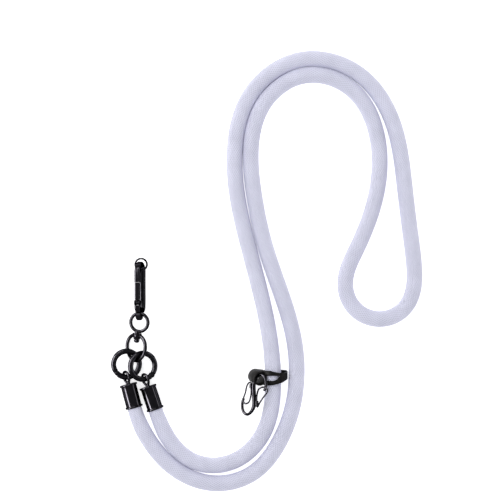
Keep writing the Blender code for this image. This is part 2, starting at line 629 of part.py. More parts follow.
def make_hook():
    frame = hook_frame()
    half = HOOK_SPACING / 2
    top = arc((half, HOOK_TOP_Y), half, 180, 0, 15)
    heel = [(x * MM, y * MM) for x, y in HOOK_HEEL_MM] + [(0.0, HOOK_PIVOT_Y)]
    line = [(0.0, HOOK_NOSE_Y)] + top + smooth_curve(heel, 3)
    body = as_mesh(plate("hook_body", ribbon(line, HOOK_BAR), HOOK_THICKNESS, edge=HOOK_EDGE), frame)
    base = (half, heel[3][1])
    eye_outline = capsule((HOOK_EYE_X, -HOOK_EYE_DROP), base, HOOK_EYE_RADIUS, 13)
    eye = as_mesh(plate("hook_eye", eye_outline, HOOK_THICKNESS, edge=HOOK_EDGE), frame)
    boolean(body, eye, "UNION", cutters)
    floor_y = base[1] + HOOK_BAR / 2
    inner = [(HOOK_BAR * 0.6, HOOK_PIVOT_Y), (half * 0.6, floor_y), (half * 1.1, floor_y),
             (HOOK_SPACING - HOOK_BAR, HOOK_PIVOT_Y), (half, HOOK_NOSE_Y / 2)]
    hollow = as_mesh(plate("hook_hollow", inner, HOOK_THICKNESS + CUT_OVERRUN), frame)
    boolean(body, hollow, "DIFFERENCE", cutters)
    eye_hole_frame = frame @ Matrix.Translation((HOOK_EYE_X, 0.0, 0.0))
    eye_hole = cylinder("hook_eye_hole", HOOK_EYE_HOLE, HOOK_THICKNESS + CUT_OVERRUN, eye_hole_frame)
    boolean(body, eye_hole, "DIFFERENCE", cutters)
    pivot = (0.0, HOOK_PIVOT_Y)
    pin_frame = frame @ Matrix.Translation((*pivot, 0.0))
    knuckle = cylinder("hook_knuckle", HOOK_KNUCKLE_RADIUS, HOOK_THICKNESS, pin_frame)
    boolean(body, knuckle, "UNION", cutters)
    slot_outline = capsule(pivot, (0.0, HOOK_PIVOT_Y + 4 * HOOK_PIN_RADIUS), HOOK_KNUCKLE_RADIUS + CLEARANCE)
    slot = as_mesh(plate("hook_slot", slot_outline, HOOK_TONGUE_THICKNESS + 2 * CLEARANCE), frame)
    boolean(body, slot, "DIFFERENCE", cutters)
    pin = cylinder("hook_pin", HOOK_PIN_RADIUS, HOOK_THICKNESS, pin_frame, 16)
    boolean(body, pin, "UNION", cutters)
    adopt(body, parts, metal_finish)
    shade(body)

    low = HOOK_PIVOT_Y + HOOK_KNUCKLE_RADIUS + CLEARANCE
    high = HOOK_NOSE_Y - CLEARANCE
    bar = [(-HOOK_GATE_WIDTH / 2, low), (HOOK_GATE_WIDTH / 2, low),
           (HOOK_GATE_WIDTH / 2, high), (-HOOK_GATE_WIDTH / 2, high)]
    gate = as_mesh(plate("hook_gate", bar, HOOK_GATE_THICKNESS, edge=HOOK_EDGE), frame)
    tongue_end = (0.0, low + HOOK_TONGUE_RADIUS)
    tongue_outline = capsule(pivot, tongue_end, HOOK_GATE_WIDTH / 2 - 0.1 * MM)
    tongue = as_mesh(plate("hook_tongue", tongue_outline, HOOK_TONGUE_THICKNESS), frame)
    boolean(gate, tongue, "UNION", cutters)
    hole = cylinder("hook_pin_hole", HOOK_PIN_RADIUS + CLEARANCE, HOOK_THICKNESS, pin_frame, 16)
    boolean(gate, hole, "DIFFERENCE", cutters)
    set_origin(gate, (*pivot, 0.0))
    adopt(gate, parts, metal_finish)
    shade(gate)


def make_wire_ring():
    """A thin ring round the hook's top bar, lying level."""
    bar_middle = hook_frame() @ Vector((HOOK_SPACING / 2, HOOK_TOP_Y + HOOK_SPACING / 2, 0.0))
    centre = bar_middle + Vector((*WIRE_RING_OFFSET, 0.0))
    ring = torus("small_wire_ring", WIRE_RING_RADIUS, WIRE_RING_WIRE, Matrix.Translation(centre), 30, 6)
    adopt(ring, parts, metal_finish)
    shade(ring)


def clip_frame():
    """X across the S and rising to the right, Y along it."""
    tilt = math.radians(CLIP_TILT_DEG)
    return axes_frame([value * MM for value in CLIP_CENTRE_MM],
                      (math.cos(tilt), 0.0, math.sin(tilt)), (0.0, 1.0, 0.0))


def clip_rod(name, room, steps):
    """The S's rod, thick at its waist, or the space that it needs with some room round it."""
    lower = smooth_curve(CLIP_HALF_MM, steps)
    whole = [(-x, -y, share) for x, y, share in reversed(lower[1:])] + lower
    points = [(x * MM, y * MM, 0.0) for x, y, share in whole]
    radii = [CLIP_ROD_RADIUS + (CLIP_WAIST_RADIUS - CLIP_ROD_RADIUS) * min(max(share, 0.0), 1.0)
             for x, y, share in whole]
    widest = CLIP_WAIST_RADIUS + room
    shares = [(radius + room) / widest for radius in radii]
    return as_mesh(tube(name, points, widest, resolution=2, shares=shares), clip_frame())


def make_leather_tab():
    """A strip round the rope, cut open on top, fused at its left to a small roll."""
    rope_x = min(ROPE_ROUTE_MM[len(ROPE_ROUTE_MM) // 2:], key=lambda p: abs(p[1] * MM - TAB_CENTRE_Y))[0] * MM
    inner_radius = rope_radius + CLEARANCE
    outer_radius = inner_radius + LEATHER_THICKNESS
    middle_z = outer_radius
    frame = axes_frame((rope_x, TAB_CENTRE_Y, middle_z), (1.0, 0.0, 0.0), (0.0, 0.0, 1.0))
    outer = capsule((-TAB_SKEW_ROOM, 0.0), (TAB_SLACK_RUN, 0.0), outer_radius, 15)
    inner = capsule((-TAB_SKEW_ROOM, 0.0), (TAB_SLACK_RUN, 0.0), inner_radius, 15)
    tab = as_mesh(plate("leather_tab", outer, TAB_WIDTH), frame)
    axis = Vector(ROLL_AXIS).normalized()
    across = Vector((0.0, 1.0, 0.0)).cross(axis).normalized()
    roll_frame = axes_frame([value * MM for value in ROLL_CENTRE_MM], across, axis.cross(across))
    roll = cylinder("leather_roll", ROLL_RADIUS, ROLL_LENGTH, roll_frame, 28)
    boolean(tab, roll, "UNION", cutters)
    rope_space = as_mesh(plate("rope_space", inner, TAB_WIDTH + CUT_OVERRUN), frame)
    boolean(tab, rope_space, "DIFFERENCE", cutters)
    roll_hole = cylinder(
        "roll_hole", ROLL_RADIUS - LEATHER_THICKNESS, ROLL_LENGTH + CUT_OVERRUN / 2, roll_frame, 28)
    boolean(tab, roll_hole, "DIFFERENCE", cutters)

    top_y = TAB_CENTRE_Y + TAB_WIDTH / 2
    low_y = TAB_CENTRE_Y - TAB_WIDTH / 2
    right = rope_x + TAB_SLACK_RUN + outer_radius
    above = middle_z + 2 * outer_radius
    window = [(rope_x + across * outer_radius, top_y - down * TAB_WIDTH) for across, down in TAB_WINDOW]
    upward = Matrix.Translation((0.0, 0.0, middle_z + above / 2 + LEATHER_THICKNESS))
    window_cutter = as_mesh(plate("tab_window", window, above), upward)
    boolean(tab, window_cutter, "DIFFERENCE", cutters)
    corner = [(right + across * outer_radius, low_y + up * TAB_WIDTH) for across, up in TAB_CORNER]
    corner_cutter = as_mesh(plate("tab_corner", corner, 2 * above))
    boolean(tab, corner_cutter, "DIFFERENCE", cutters)
    edge = [(rope_x + across * outer_radius, top_y - down * TAB_WIDTH) for across, down in TAB_EDGE]
    edge_cutter = as_mesh(plate("tab_edge", edge, above), upward)
    boolean(tab, edge_cutter, "DIFFERENCE", cutters)

    rod_space = clip_rod("clip_rod_space", CLEARANCE, 3)
    boolean(tab, rod_space, "DIFFERENCE", cutters)
    adopt(tab, parts, leather_finish)
    shade(tab)


def make_clip():
    frame = clip_frame()
    body = clip_rod("s_clip_body", 0.0, 4)

    stand_off = CLIP_WAIST_RADIUS + CLIP_WIRE_RADIUS + CLEARANCE
    waist_across = CLIP_HALF_MM[2][0] * MM
    waist_deg = math.degrees(math.atan2(waist_across, -CLIP_HALF_MM[2][1] * MM))
    for name, half_turn in (("upper", 0.0), ("lower", 180.0)):
        side = frame @ Matrix.Rotation(math.radians(half_turn), 4, "Z")
        lug_at = Matrix.Translation((stand_off + waist_across, -CLIP_LUG_ALONG, 0.0))
        hinge = side @ lug_at @ Matrix.Rotation(math.radians(waist_deg), 4, "Z")
        along = hinge @ Matrix.Rotation(math.radians(90), 4, "X")
        lug = cylinder("lug_" + name, CLIP_LUG_RADIUS, CLIP_LUG_LENGTH, along, 16)
        boolean(body, lug, "UNION", cutters)
        web_frame = hinge @ Matrix.Translation((-stand_off / 2, 0.0, 0.0))
        bpy.ops.mesh.primitive_cube_add(size=1.0)
        web = bpy.context.active_object
        web.name = "web_" + name
        web.data.transform(Matrix.Diagonal((stand_off, CLIP_LUG_LENGTH, CLIP_LUG_RADIUS * 1.6, 1.0)))
        web.matrix_world = web_frame
        boolean(body, web, "UNION", cutters)
        bore = cylinder(
            "lug_bore_" + name, CLIP_WIRE_RADIUS + CLEARANCE, CLIP_LUG_LENGTH + CUT_OVERRUN, along, 12)
        boolean(body, bore, "DIFFERENCE", cutters)

        lift = (CLIP_ROD_RADIUS + CLIP_WIRE_RADIUS + CLEARANCE) / MM
        run = [(0.0, -0.2, 0.0)] + [(x, y, lift * min(x / 3.0, 1.0)) for x, y in GATE_RUNS_MM[name]]
        run = run + [(0.0, 0.2, 0.0)]
        wire = [tuple(value * MM for value in point) for point in smooth_curve(run, 3)]
        gate = as_mesh(
            tube("s_clip_gate_" + name, wire, CLIP_WIRE_RADIUS, resolution=1), hinge)
        adopt(gate, parts, metal_finish)
        shade(gate)
    adopt(body, parts, metal_finish)
    shade(body)


make_rope()
for side in ("left", "right"):
    make_end_cap(side)
    make_cap_eye(side)
    make_gate_ring(side)
make_swivel()
make_hook()
make_wire_ring()
make_leather_tab()
make_clip()
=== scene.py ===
import math

import bpy
import numpy as np
from mathutils import Matrix, Vector


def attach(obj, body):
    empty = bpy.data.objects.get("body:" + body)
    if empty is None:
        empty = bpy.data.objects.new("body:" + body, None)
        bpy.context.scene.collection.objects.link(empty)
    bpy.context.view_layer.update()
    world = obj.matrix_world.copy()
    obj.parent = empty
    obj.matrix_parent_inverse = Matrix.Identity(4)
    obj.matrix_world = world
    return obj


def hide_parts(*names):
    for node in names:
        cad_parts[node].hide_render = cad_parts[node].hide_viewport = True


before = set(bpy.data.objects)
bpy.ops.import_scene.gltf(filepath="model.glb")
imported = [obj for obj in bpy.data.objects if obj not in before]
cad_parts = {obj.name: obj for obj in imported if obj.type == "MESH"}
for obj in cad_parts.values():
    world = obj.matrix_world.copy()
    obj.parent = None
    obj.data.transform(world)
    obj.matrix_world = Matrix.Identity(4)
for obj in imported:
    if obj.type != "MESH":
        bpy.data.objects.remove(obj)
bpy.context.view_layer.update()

# Camera: straight above the strap, as far off as a studio camera over a table.
# One photo pixel is 0.64 mm, and the photo's middle lies between the strap's two halves.
MM = 0.001
VIEW_WIDTH = 320.0 * MM
VIEW_MIDDLE = (32.36 * MM, 55.69 * MM)
LENS = 150.0
SENSOR_WIDTH = 36.0
ROPE_DIAMETER = 10.0 * MM
camera_data = bpy.data.cameras.new("overhead_camera")
camera_data.lens = LENS
camera_data.sensor_width = SENSOR_WIDTH
camera_data.clip_end = 10.0
camera = bpy.data.objects.new("overhead_camera", camera_data)
camera.location = (*VIEW_MIDDLE, VIEW_WIDTH * LENS / SENSOR_WIDTH + ROPE_DIAMETER / 2)
bpy.context.scene.collection.objects.link(camera)
bpy.context.scene.camera = camera

# Rope: a soft white braided tube over a core, 10 mm across, in one length of about 1.18 m.
# It leaves the left end cap, runs round the loop and through the leather tab, and ends in
# the right end cap. It lies on the table, rises a little at the tab, and is pinched in the caps.
ROPE_NAP = 0.15 * MM
ROPE_END_SHARE = 0.88
ROPE_PINCH = 16.0 * MM
ROPE_INSERTION = 9.0 * MM
ROPE_CAP_Z = 5.75 * MM
ROPE_TAB_Z = 6.5 * MM
ROPE_TAB_Y = -25.83 * MM
ROPE_TAB_RUN = 9.2 * MM
ROPE_RISE = 34.0 * MM
ROPE_STEP = 1.3 * MM
ROPE_SIDES = 32
MERGE_DISTANCE = 0.001 * MM
ROPE_ENDS_MM = [(-43.88, -36.53), (-30.96, -37.87)]
ROPE_ROUTE_MM = [
    (-40.6, -48.6), (-31.1, -67.8), (-14.3, -85.2), (10.0, -93.6), (33.7, -87.3), (51.4, -66.5),
    (60.9, -38.4), (60.3, -0.6), (42.8, 55.7), (35.1, 90.3), (32.9, 119.7), (41.1, 149.2),
    (66.5, 167.1), (96.7, 159.1), (112.7, 132.5), (113.9, 95.4), (100.4, 56.0), (93.5, 37.3),
    (95.0, 25.1), (101.8, 16.1), (112.2, 11.7), (123.4, 13.1), (132.3, 19.9), (136.8, 30.3),
    (137.3, 46.3), (134.5, 69.8), (131.3, 96.7), (123.0, 139.2), (102.9, 167.5), (65.0, 177.4),
    (32.5, 154.7), (22.6, 119.7), (24.2, 90.3), (31.9, 55.7), (44.1, 4.5), (47.1, -30.0),
    (40.5, -62.0), (20.9, -79.8), (-2.8, -79.9), (-18.4, -67.0), (-26.7, -50.5),
]


def smooth_curve(points, steps):
    """A natural cubic spline through the points, read at a few steps in each span."""
    nodes = np.array(points, float)
    count = len(nodes)
    spans = np.linalg.norm(np.diff(nodes, axis=0), axis=1)
    system = np.zeros((count, count))
    right = np.zeros_like(nodes)
    system[0, 0] = 1.0
    system[-1, -1] = 1.0
    for index in range(1, count - 1):
        before, after = spans[index - 1], spans[index]
        system[index, index - 1:index + 2] = before, 2 * (before + after), after
        slope_after = (nodes[index + 1] - nodes[index]) / after
        slope_before = (nodes[index] - nodes[index - 1]) / before
        right[index] = 6 * (slope_after - slope_before)
    bends = np.linalg.solve(system, right)
    curve = []
    for index, span in enumerate(spans):
        start, end = nodes[index], nodes[index + 1]
        for step in range(steps):
            ahead = span * step / steps
            back = span - ahead
            cubic = (bends[index] * back ** 3 + bends[index + 1] * ahead ** 3) / (6 * span)
            line_back = (start / span - bends[index] * span / 6) * back
            line_ahead = (end / span - bends[index + 1] * span / 6) * ahead
            curve.append(cubic + line_back + line_ahead)
    curve.append(nodes[-1])
    return np.array(curve)


def distances(line):
    """How far each point of a line lies from its start, along the line."""
    return np.concatenate([[0.0], np.cumsum(np.linalg.norm(np.diff(line, axis=0), axis=1))])


def only(piece):
    """Make one object the only selected one."""
    bpy.ops.object.select_all(action="DESELECT")
    piece.select_set(True)
    bpy.context.view_layer.objects.active = piece


def wire_piece(name, points, radius=0.0, sides=0, shares=None, closed=False, section=None):
    """A wire drawn as a curve with a round or a given section, turned into a mesh."""
    curve = bpy.data.curves.new(name, "CURVE")
    curve.dimensions = "3D"
    curve.twist_mode = "Z_UP"
    curve.use_fill_caps = True
    if section is None:
        curve.bevel_depth = radius
        curve.bevel_resolution = sides // 2 - 2
    else:
        curve.bevel_mode = "OBJECT"
        curve.bevel_object = section
    spline = curve.splines.new("POLY")
    spline.points.add(len(points) - 1)
    for index, point in enumerate(points):
        spline.points[index].co = (*point, 1.0)
        if shares is not None:
            spline.points[index].radius = shares[index]
    spline.use_cyclic_u = closed
    piece = bpy.data.objects.new(name, curve)
    bpy.context.scene.collection.objects.link(piece)
    only(piece)
    bpy.ops.object.convert(target="MESH")
    bpy.ops.object.mode_set(mode="EDIT")
    bpy.ops.mesh.select_all(action="SELECT")
    bpy.ops.mesh.remove_doubles(threshold=MERGE_DISTANCE)
    bpy.ops.mesh.normals_make_consistent(inside=False)
    bpy.ops.object.mode_set(mode="OBJECT")
    return piece


def math_node(tree, operation, first, second=None):
    """One Math node, its inputs either a socket or a number."""
    node = tree.nodes.new("ShaderNodeMath")
    node.operation = operation
    for socket, value in zip(node.inputs, (first, second)):
        if isinstance(value, (int, float)):
            socket.default_value = value
        elif value is not None:
            tree.links.new(value, socket)
    return node.outputs[0]


plan = [ROPE_ENDS_MM[0]] + ROPE_ROUTE_MM + [ROPE_ENDS_MM[1]]
fine_plan = smooth_curve([(x * MM, y * MM) for x, y in plan], 40)
fine_run = distances(fine_plan)
rope_length = float(fine_run[-1])
rope_run = np.linspace(0.0, rope_length, round(rope_length / ROPE_STEP) + 1)
rope_plan = np.column_stack([np.interp(rope_run, fine_run, fine_plan[:, axis]) for axis in (0, 1)])
second_half = len(rope_run) // 2
tab_run = rope_run[second_half + int(np.argmin(np.abs(rope_plan[second_half:, 1] - ROPE_TAB_Y)))]
from_cap = np.minimum(rope_run, rope_length - rope_run) - ROPE_INSERTION
from_tab = np.abs(rope_run - tab_run) - ROPE_TAB_RUN
rope_shares = ROPE_END_SHARE + (1 - ROPE_END_SHARE) * np.clip(from_cap / ROPE_PINCH, 0, 1)
rope_radii = ROPE_DIAMETER / 2 * rope_shares
near_cap = 1 - np.clip(from_cap / ROPE_RISE, 0, 1)
near_tab = 1 - np.clip(from_tab / ROPE_RISE, 0, 1)
ease_cap = near_cap ** 2 * (3 - 2 * near_cap)
ease_tab = near_tab ** 2 * (3 - 2 * near_tab)
end_radius = ROPE_DIAMETER / 2 * ROPE_END_SHARE
rope_z = (rope_radii + ROPE_NAP + (ROPE_CAP_Z - end_radius) * ease_cap
          + (ROPE_TAB_Z - ROPE_DIAMETER / 2) * ease_tab)
rope_line = np.column_stack([rope_plan, rope_z])
# The braid's soft nap stands out a little from the rope's nominal size
rope_piece = wire_piece("braided_rope", rope_line.tolist(), ROPE_DIAMETER / 2 + ROPE_NAP,
                        ROPE_SIDES, rope_shares.tolist())
bpy.ops.object.shade_smooth()

# The braid: fine strands crossing both ways round the rope, matt, with a cool lavender cast and
# painted shade darkening the colour between the strands. Its UV map runs once round and once along
# the whole rope.
BRAID_STRANDS = 22
BRAID_PITCH = 2.3 * MM
braid = bpy.data.materials.new("white_braid")
braid.use_nodes = True
tree = braid.node_tree
nodes = tree.nodes
links = tree.links
shader = nodes["Principled BSDF"]
shader.inputs["Roughness"].default_value = 0.9
shader.inputs["Sheen Weight"].default_value = 0.15
shader.inputs["Specular IOR Level"].default_value = 0.2
uv_map = nodes.new("ShaderNodeUVMap")
uv_map.uv_map = rope_piece.data.uv_layers[0].name
split = nodes.new("ShaderNodeSeparateXYZ")
links.new(uv_map.outputs["UV"], split.inputs[0])
along = math_node(tree, "MULTIPLY", split.outputs[0], rope_length / BRAID_PITCH)
around = math_node(tree, "MULTIPLY", split.outputs[1], BRAID_STRANDS)
right_hand = math_node(tree, "PINGPONG", math_node(tree, "ADD", along, around), 0.5)
left_hand = math_node(tree, "PINGPONG", math_node(tree, "SUBTRACT", along, around), 0.5)
crossing = math_node(tree, "MAXIMUM", right_hand, left_hand)
strand = math_node(tree, "POWER", math_node(tree, "MULTIPLY", crossing, 2.0), 1.6)
place = nodes.new("ShaderNodeTexCoord")
fuzz = nodes.new("ShaderNodeTexNoise")
fuzz.inputs["Scale"].default_value = 2200.0
fuzz.inputs["Detail"].default_value = 4.0
links.new(place.outputs["Object"], fuzz.inputs["Vector"])
drift = nodes.new("ShaderNodeTexNoise")
drift.inputs["Scale"].default_value = 90.0
drift.inputs["Detail"].default_value = 2.0
links.new(place.outputs["Object"], drift.inputs["Vector"])
relief = math_node(tree, "ADD", strand, math_node(tree, "MULTIPLY", fuzz.outputs[0], 0.7))
bump = nodes.new("ShaderNodeBump")
bump.inputs["Strength"].default_value = 0.75
bump.inputs["Distance"].default_value = 0.25 * MM
links.new(relief, bump.inputs["Height"])
links.new(bump.outputs["Normal"], shader.inputs["Normal"])
# Colour: painted shade, darker between the strands, mixed with a slow random change of tone
drift_and_strand_shade = math_node(tree, "ADD", math_node(tree, "MULTIPLY", strand, 0.5),
                 math_node(tree, "MULTIPLY", drift.outputs[0], 0.35))
ramp = nodes.new("ShaderNodeValToRGB")
ramp.color_ramp.elements[0].position = 0.05
ramp.color_ramp.elements[0].color = (0.52, 0.52, 0.62, 1.0)
ramp.color_ramp.elements[1].position = 0.75
ramp.color_ramp.elements[1].color = (0.85, 0.85, 0.99, 1.0)
links.new(drift_and_strand_shade, ramp.inputs["Fac"])
links.new(ramp.outputs["Color"], shader.inputs["Base Color"])
rope_piece.data.materials.clear()
rope_piece.data.materials.append(braid)
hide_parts("rope")
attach(rope_piece, "strap")

# Black plating: glossy and almost black with a faint violet cast, on cast, turned and wire
# pieces. Polishing before plating leaves long shallow waves that waver the reflections.
plating = bpy.data.materials.new("black_plating")
plating.use_nodes = True
tree = plating.node_tree
nodes = tree.nodes
links = tree.links
shader = nodes["Principled BSDF"]
shader.inputs["Metallic"].default_value = 1.0
place = nodes.new("ShaderNodeTexCoord")
waver = nodes.new("ShaderNodeTexNoise")
waver.inputs["Scale"].default_value = 260.0
waver.inputs["Detail"].default_value = 2.0
links.new(place.outputs["Object"], waver.inputs["Vector"])
haze = nodes.new("ShaderNodeMapRange")
haze.inputs["To Min"].default_value = 0.08
haze.inputs["To Max"].default_value = 0.17
links.new(waver.outputs[0], haze.inputs["Value"])
links.new(haze.outputs[0], shader.inputs["Roughness"])
tint = nodes.new("ShaderNodeValToRGB")
tint.color_ramp.elements[0].position = 0.3
tint.color_ramp.elements[0].color = (0.024, 0.023, 0.026, 1.0)
tint.color_ramp.elements[1].position = 0.7
tint.color_ramp.elements[1].color = (0.036, 0.034, 0.039, 1.0)
links.new(waver.outputs[0], tint.inputs["Fac"])
links.new(tint.outputs["Color"], shader.inputs["Base Color"])
shader.inputs["Specular Tint"].default_value = (0.10, 0.095, 0.11, 1.0)
bump = nodes.new("ShaderNodeBump")
bump.inputs["Strength"].default_value = 0.12
bump.inputs["Distance"].default_value = 0.1 * MM
links.new(waver.outputs[0], bump.inputs["Height"])
links.new(bump.outputs["Normal"], shader.inputs["Normal"])


def axes_frame(origin, x_axis, y_axis):
    """A frame from its origin and two of its axes."""
    x_axis = Vector(x_axis).normalized()
    z_axis = x_axis.cross(Vector(y_axis)).normalized()
    y_axis = z_axis.cross(x_axis)
    result = Matrix((x_axis, y_axis, z_axis)).transposed().to_4x4()
    result.translation = Vector(origin)
    return result


def tilted_frame(centre, pitch_deg, roll_deg, yaw_deg=0.0):
    """A frame whose Z is a ring's normal: pitched about X, rolled about Y, turned about Z."""
    yaw = Matrix.Rotation(math.radians(yaw_deg), 4, "Z")
    roll = Matrix.Rotation(math.radians(roll_deg), 4, "Y")
    pitch = Matrix.Rotation(math.radians(pitch_deg), 4, "X")
    return Matrix.Translation(Vector(centre)) @ yaw @ roll @ pitch


def arc(centre, radius, start_deg, end_deg, count):
    """Points along an arc in a plane."""
    points = []
    for index in range(count):
        angle = math.radians(start_deg + (end_deg - start_deg) * index / (count - 1))
        points.append((centre[0] + radius * math.cos(angle), centre[1] + radius * math.sin(angle)))
    return points


def turned_piece(name, rows, sides):
    """A shape of revolution about Z: a circle extruded and scaled from row to row, then closed."""
    first_radius, first_height = rows[0]
    bpy.ops.object.select_all(action="DESELECT")
    bpy.ops.mesh.primitive_circle_add(
        vertices=sides, radius=first_radius, location=(0.0, 0.0, first_height))
    piece = bpy.context.active_object
    piece.name = name
    bpy.ops.object.transform_apply(location=True)
    bpy.ops.object.mode_set(mode="EDIT")
    bpy.ops.mesh.select_all(action="SELECT")
    for (radius, height), (next_radius, next_height) in zip(rows, rows[1:]):
        bpy.ops.mesh.extrude_edges_move(
            TRANSFORM_OT_translate={"value": (0.0, 0.0, next_height - height)})
        share = next_radius / radius
        bpy.ops.transform.resize(value=(share, share, 1.0), center_override=(0.0, 0.0, next_height))
    bpy.ops.mesh.select_all(action="SELECT")
    bpy.ops.mesh.remove_doubles(threshold=MERGE_DISTANCE)
    bpy.ops.mesh.fill_holes(sides=0)
    bpy.ops.mesh.select_all(action="SELECT")
    bpy.ops.mesh.normals_make_consistent(inside=False)
    bpy.ops.object.mode_set(mode="OBJECT")
    return piece


def block(name, size):
    """A block about the origin."""
    bpy.ops.object.select_all(action="DESELECT")
    bpy.ops.mesh.primitive_cube_add(size=1.0)
    piece = bpy.context.active_object
    piece.name = name
    piece.data.transform(Matrix.Diagonal((*size, 1.0)))
    return piece


def joined(name, pieces):
    """Join pieces into one object."""
    bpy.ops.object.select_all(action="DESELECT")
    for piece in pieces:
        piece.select_set(True)
    bpy.context.view_layer.objects.active = pieces[0]
    bpy.ops.object.join()
    pieces[0].name = name
    return pieces[0]


def copied(piece, name):
    """A copy of a piece with a mesh of its own."""
    double = piece.copy()
    double.data = piece.data.copy()
    double.name = name
    bpy.context.scene.collection.objects.link(double)
    return double


def finished(piece, placing, material, node, body, crease_deg=32):
    """Put a piece in its place, smooth and finish it, and let it stand for its node."""
    piece.data.transform(placing)
    only(piece)
    bpy.ops.object.shade_smooth_by_angle(angle=math.radians(crease_deg))
    piece.data.materials.clear()
    piece.data.materials.append(material)
    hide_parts(node)
    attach(piece, body)


# End caps: two thin brass cups turned with a rolled flange at each end, crimped on the rope's
# ends and plated black. Each lies on its flanges, with a hole for the eye in its closed end.
CAP_LENGTH = 15.8 * MM
CAP_BODY_RADIUS = 5.0 * MM
CAP_BORE_RADIUS = 4.7 * MM
CAP_FLANGE_RADIUS = 5.75 * MM
CAP_ROLL_RADIUS = 0.7 * MM
CAP_HOLE_RADIUS = 1.75 * MM
CAP_FLOOR = 1.2 * MM
CAP_HOLE_EDGE = 0.25 * MM
CAP_FLANGE_FOOT = 1.65 * MM
CAP_SWELL = 0.05 * MM
CAP_LIP_WIDTH = 0.2 * MM
CAP_LIP_DEPTH = 0.4 * MM
CAP_ENDS = {"left": ((-45.59, -29.95), 14.6), "right": ((-33.11, -31.42), 18.4)}
roll_middle = CAP_FLANGE_RADIUS - CAP_ROLL_RADIUS
cap_rows = [(CAP_HOLE_RADIUS, -CAP_FLOOR), (CAP_HOLE_RADIUS, -CAP_HOLE_EDGE),
            (CAP_HOLE_RADIUS + CAP_HOLE_EDGE, 0.0)]
cap_rows += arc((roll_middle, -CAP_ROLL_RADIUS), CAP_ROLL_RADIUS, 90, -90, 9)
cap_rows += [(CAP_BODY_RADIUS, -CAP_FLANGE_FOOT), (CAP_BODY_RADIUS + CAP_SWELL, -CAP_LENGTH / 2),
             (CAP_BODY_RADIUS, CAP_FLANGE_FOOT - CAP_LENGTH)]
cap_rows += arc((roll_middle, CAP_ROLL_RADIUS - CAP_LENGTH), CAP_ROLL_RADIUS, 90, -90, 9)
cap_rows += [(CAP_BORE_RADIUS + CAP_LIP_WIDTH, -CAP_LENGTH),
             (CAP_BORE_RADIUS, CAP_LIP_DEPTH - CAP_LENGTH),
             (CAP_BORE_RADIUS, -CAP_FLOOR), (CAP_HOLE_RADIUS, -CAP_FLOOR)]
cap_frames = {}
for side, ((end_x, end_y), lean_deg) in CAP_ENDS.items():
    lean = math.radians(lean_deg)
    outward = Vector((-math.sin(lean), math.cos(lean), 0.0))
    level = Vector((math.cos(lean), math.sin(lean), 0.0))
    cap_frames[side] = axes_frame(
        (end_x * MM, end_y * MM, CAP_FLANGE_RADIUS), level, outward.cross(level))
left_cap = turned_piece("left_cup", cap_rows, 72)
right_cap = copied(left_cap, "right_cup")
finished(left_cap, cap_frames["left"], plating, "end_cap_left", "strap")
finished(right_cap, cap_frames["right"], plating, "end_cap_right", "strap")

# Cap eyes: stout wire bent to a loop, with both legs through the cap's closed end, where they
# are held from inside. The wire is a little thicker at the legs than round the loop.
EYE_WIRE_RADIUS = 0.82 * MM
EYE_LOOP_RADIUS = 3.4 * MM
EYE_LOOP_OFFSET = 4.55 * MM
EYE_LEG_ACROSS = 0.95 * MM
EYE_LEG_HEIGHTS = [-2.2 * MM, -0.6 * MM, 0.5 * MM]
EYE_LEG_SHARES = [1.25, 1.25, 1.18]
EYE_LOOP_SHARE = 1.05
EYE_ROLL_DEG = {"left": 57.0, "right": 55.3}
loop = arc((0.0, EYE_LOOP_OFFSET), EYE_LOOP_RADIUS, -40, 220, 41)
up_leg = [(EYE_LEG_ACROSS, height) for height in EYE_LEG_HEIGHTS]
down_leg = [(-EYE_LEG_ACROSS, height) for height in reversed(EYE_LEG_HEIGHTS)]
eye_run = up_leg + loop + down_leg
eye_shares = EYE_LEG_SHARES + [EYE_LOOP_SHARE] * len(loop) + EYE_LEG_SHARES[::-1]
left_eye = wire_piece(
    "left_eye", [(x, 0.0, z) for x, z in eye_run], EYE_WIRE_RADIUS, 16, eye_shares)
right_eye = copied(left_eye, "right_eye")
for side, eye in (("left", left_eye), ("right", right_eye)):
    turn = Matrix.Rotation(math.radians(-EYE_ROLL_DEG[side]), 4, "Z")
    finished(eye, cap_frames[side] @ turn, plating, "cap_eye_" + side, "strap", crease_deg=60)

# Gate rings: thick round rings cast with a fork at one side, where a riveted gate hinges and
# closes against the ring's nose. One ring is modelled and turned over for the other hand.
RING_RADIUS = 8.3 * MM
RING_WIRE_RADIUS = 1.75 * MM
RING_TIP_DEG = 31.0
RING_PIVOT_DEG = -44.0
RING_JOINT_GAP_DEG = 0.2
RING_EAR_RADIUS = 1.65 * MM
RING_EAR_INSIDE = 0.6 * MM
RING_EAR_OUTSIDE = 1.45 * MM
RING_EAR_EDGE = 0.15 * MM
RING_BAR_INTO_EAR = 0.75
RING_RIVET_RADIUS = 0.6 * MM
RING_RIVET_TOP_SHARE = 0.7
RING_RIVET_STANDS = 0.12 * MM
RING_PLACES = {
    "left": ((-46.65, -25.61, 5.66), 0.1, 11.9, 180.0),
    "right": ((-36.18, -26.89, 6.75), 0.3, 23.8, 0.0),
}
ear_turn_deg = math.degrees(RING_EAR_RADIUS / RING_RADIUS)
body_arc = arc((0.0, 0.0), RING_RADIUS, RING_TIP_DEG + RING_JOINT_GAP_DEG,
               360 + RING_PIVOT_DEG - ear_turn_deg * RING_BAR_INTO_EAR, 88)
ring_bar = wire_piece("ring_bar", [(x, y, 0.0) for x, y in body_arc], RING_WIRE_RADIUS, 24)
pivot_x, pivot_y = arc((0.0, 0.0), RING_RADIUS, RING_PIVOT_DEG, 0, 2)[0]
ears = []
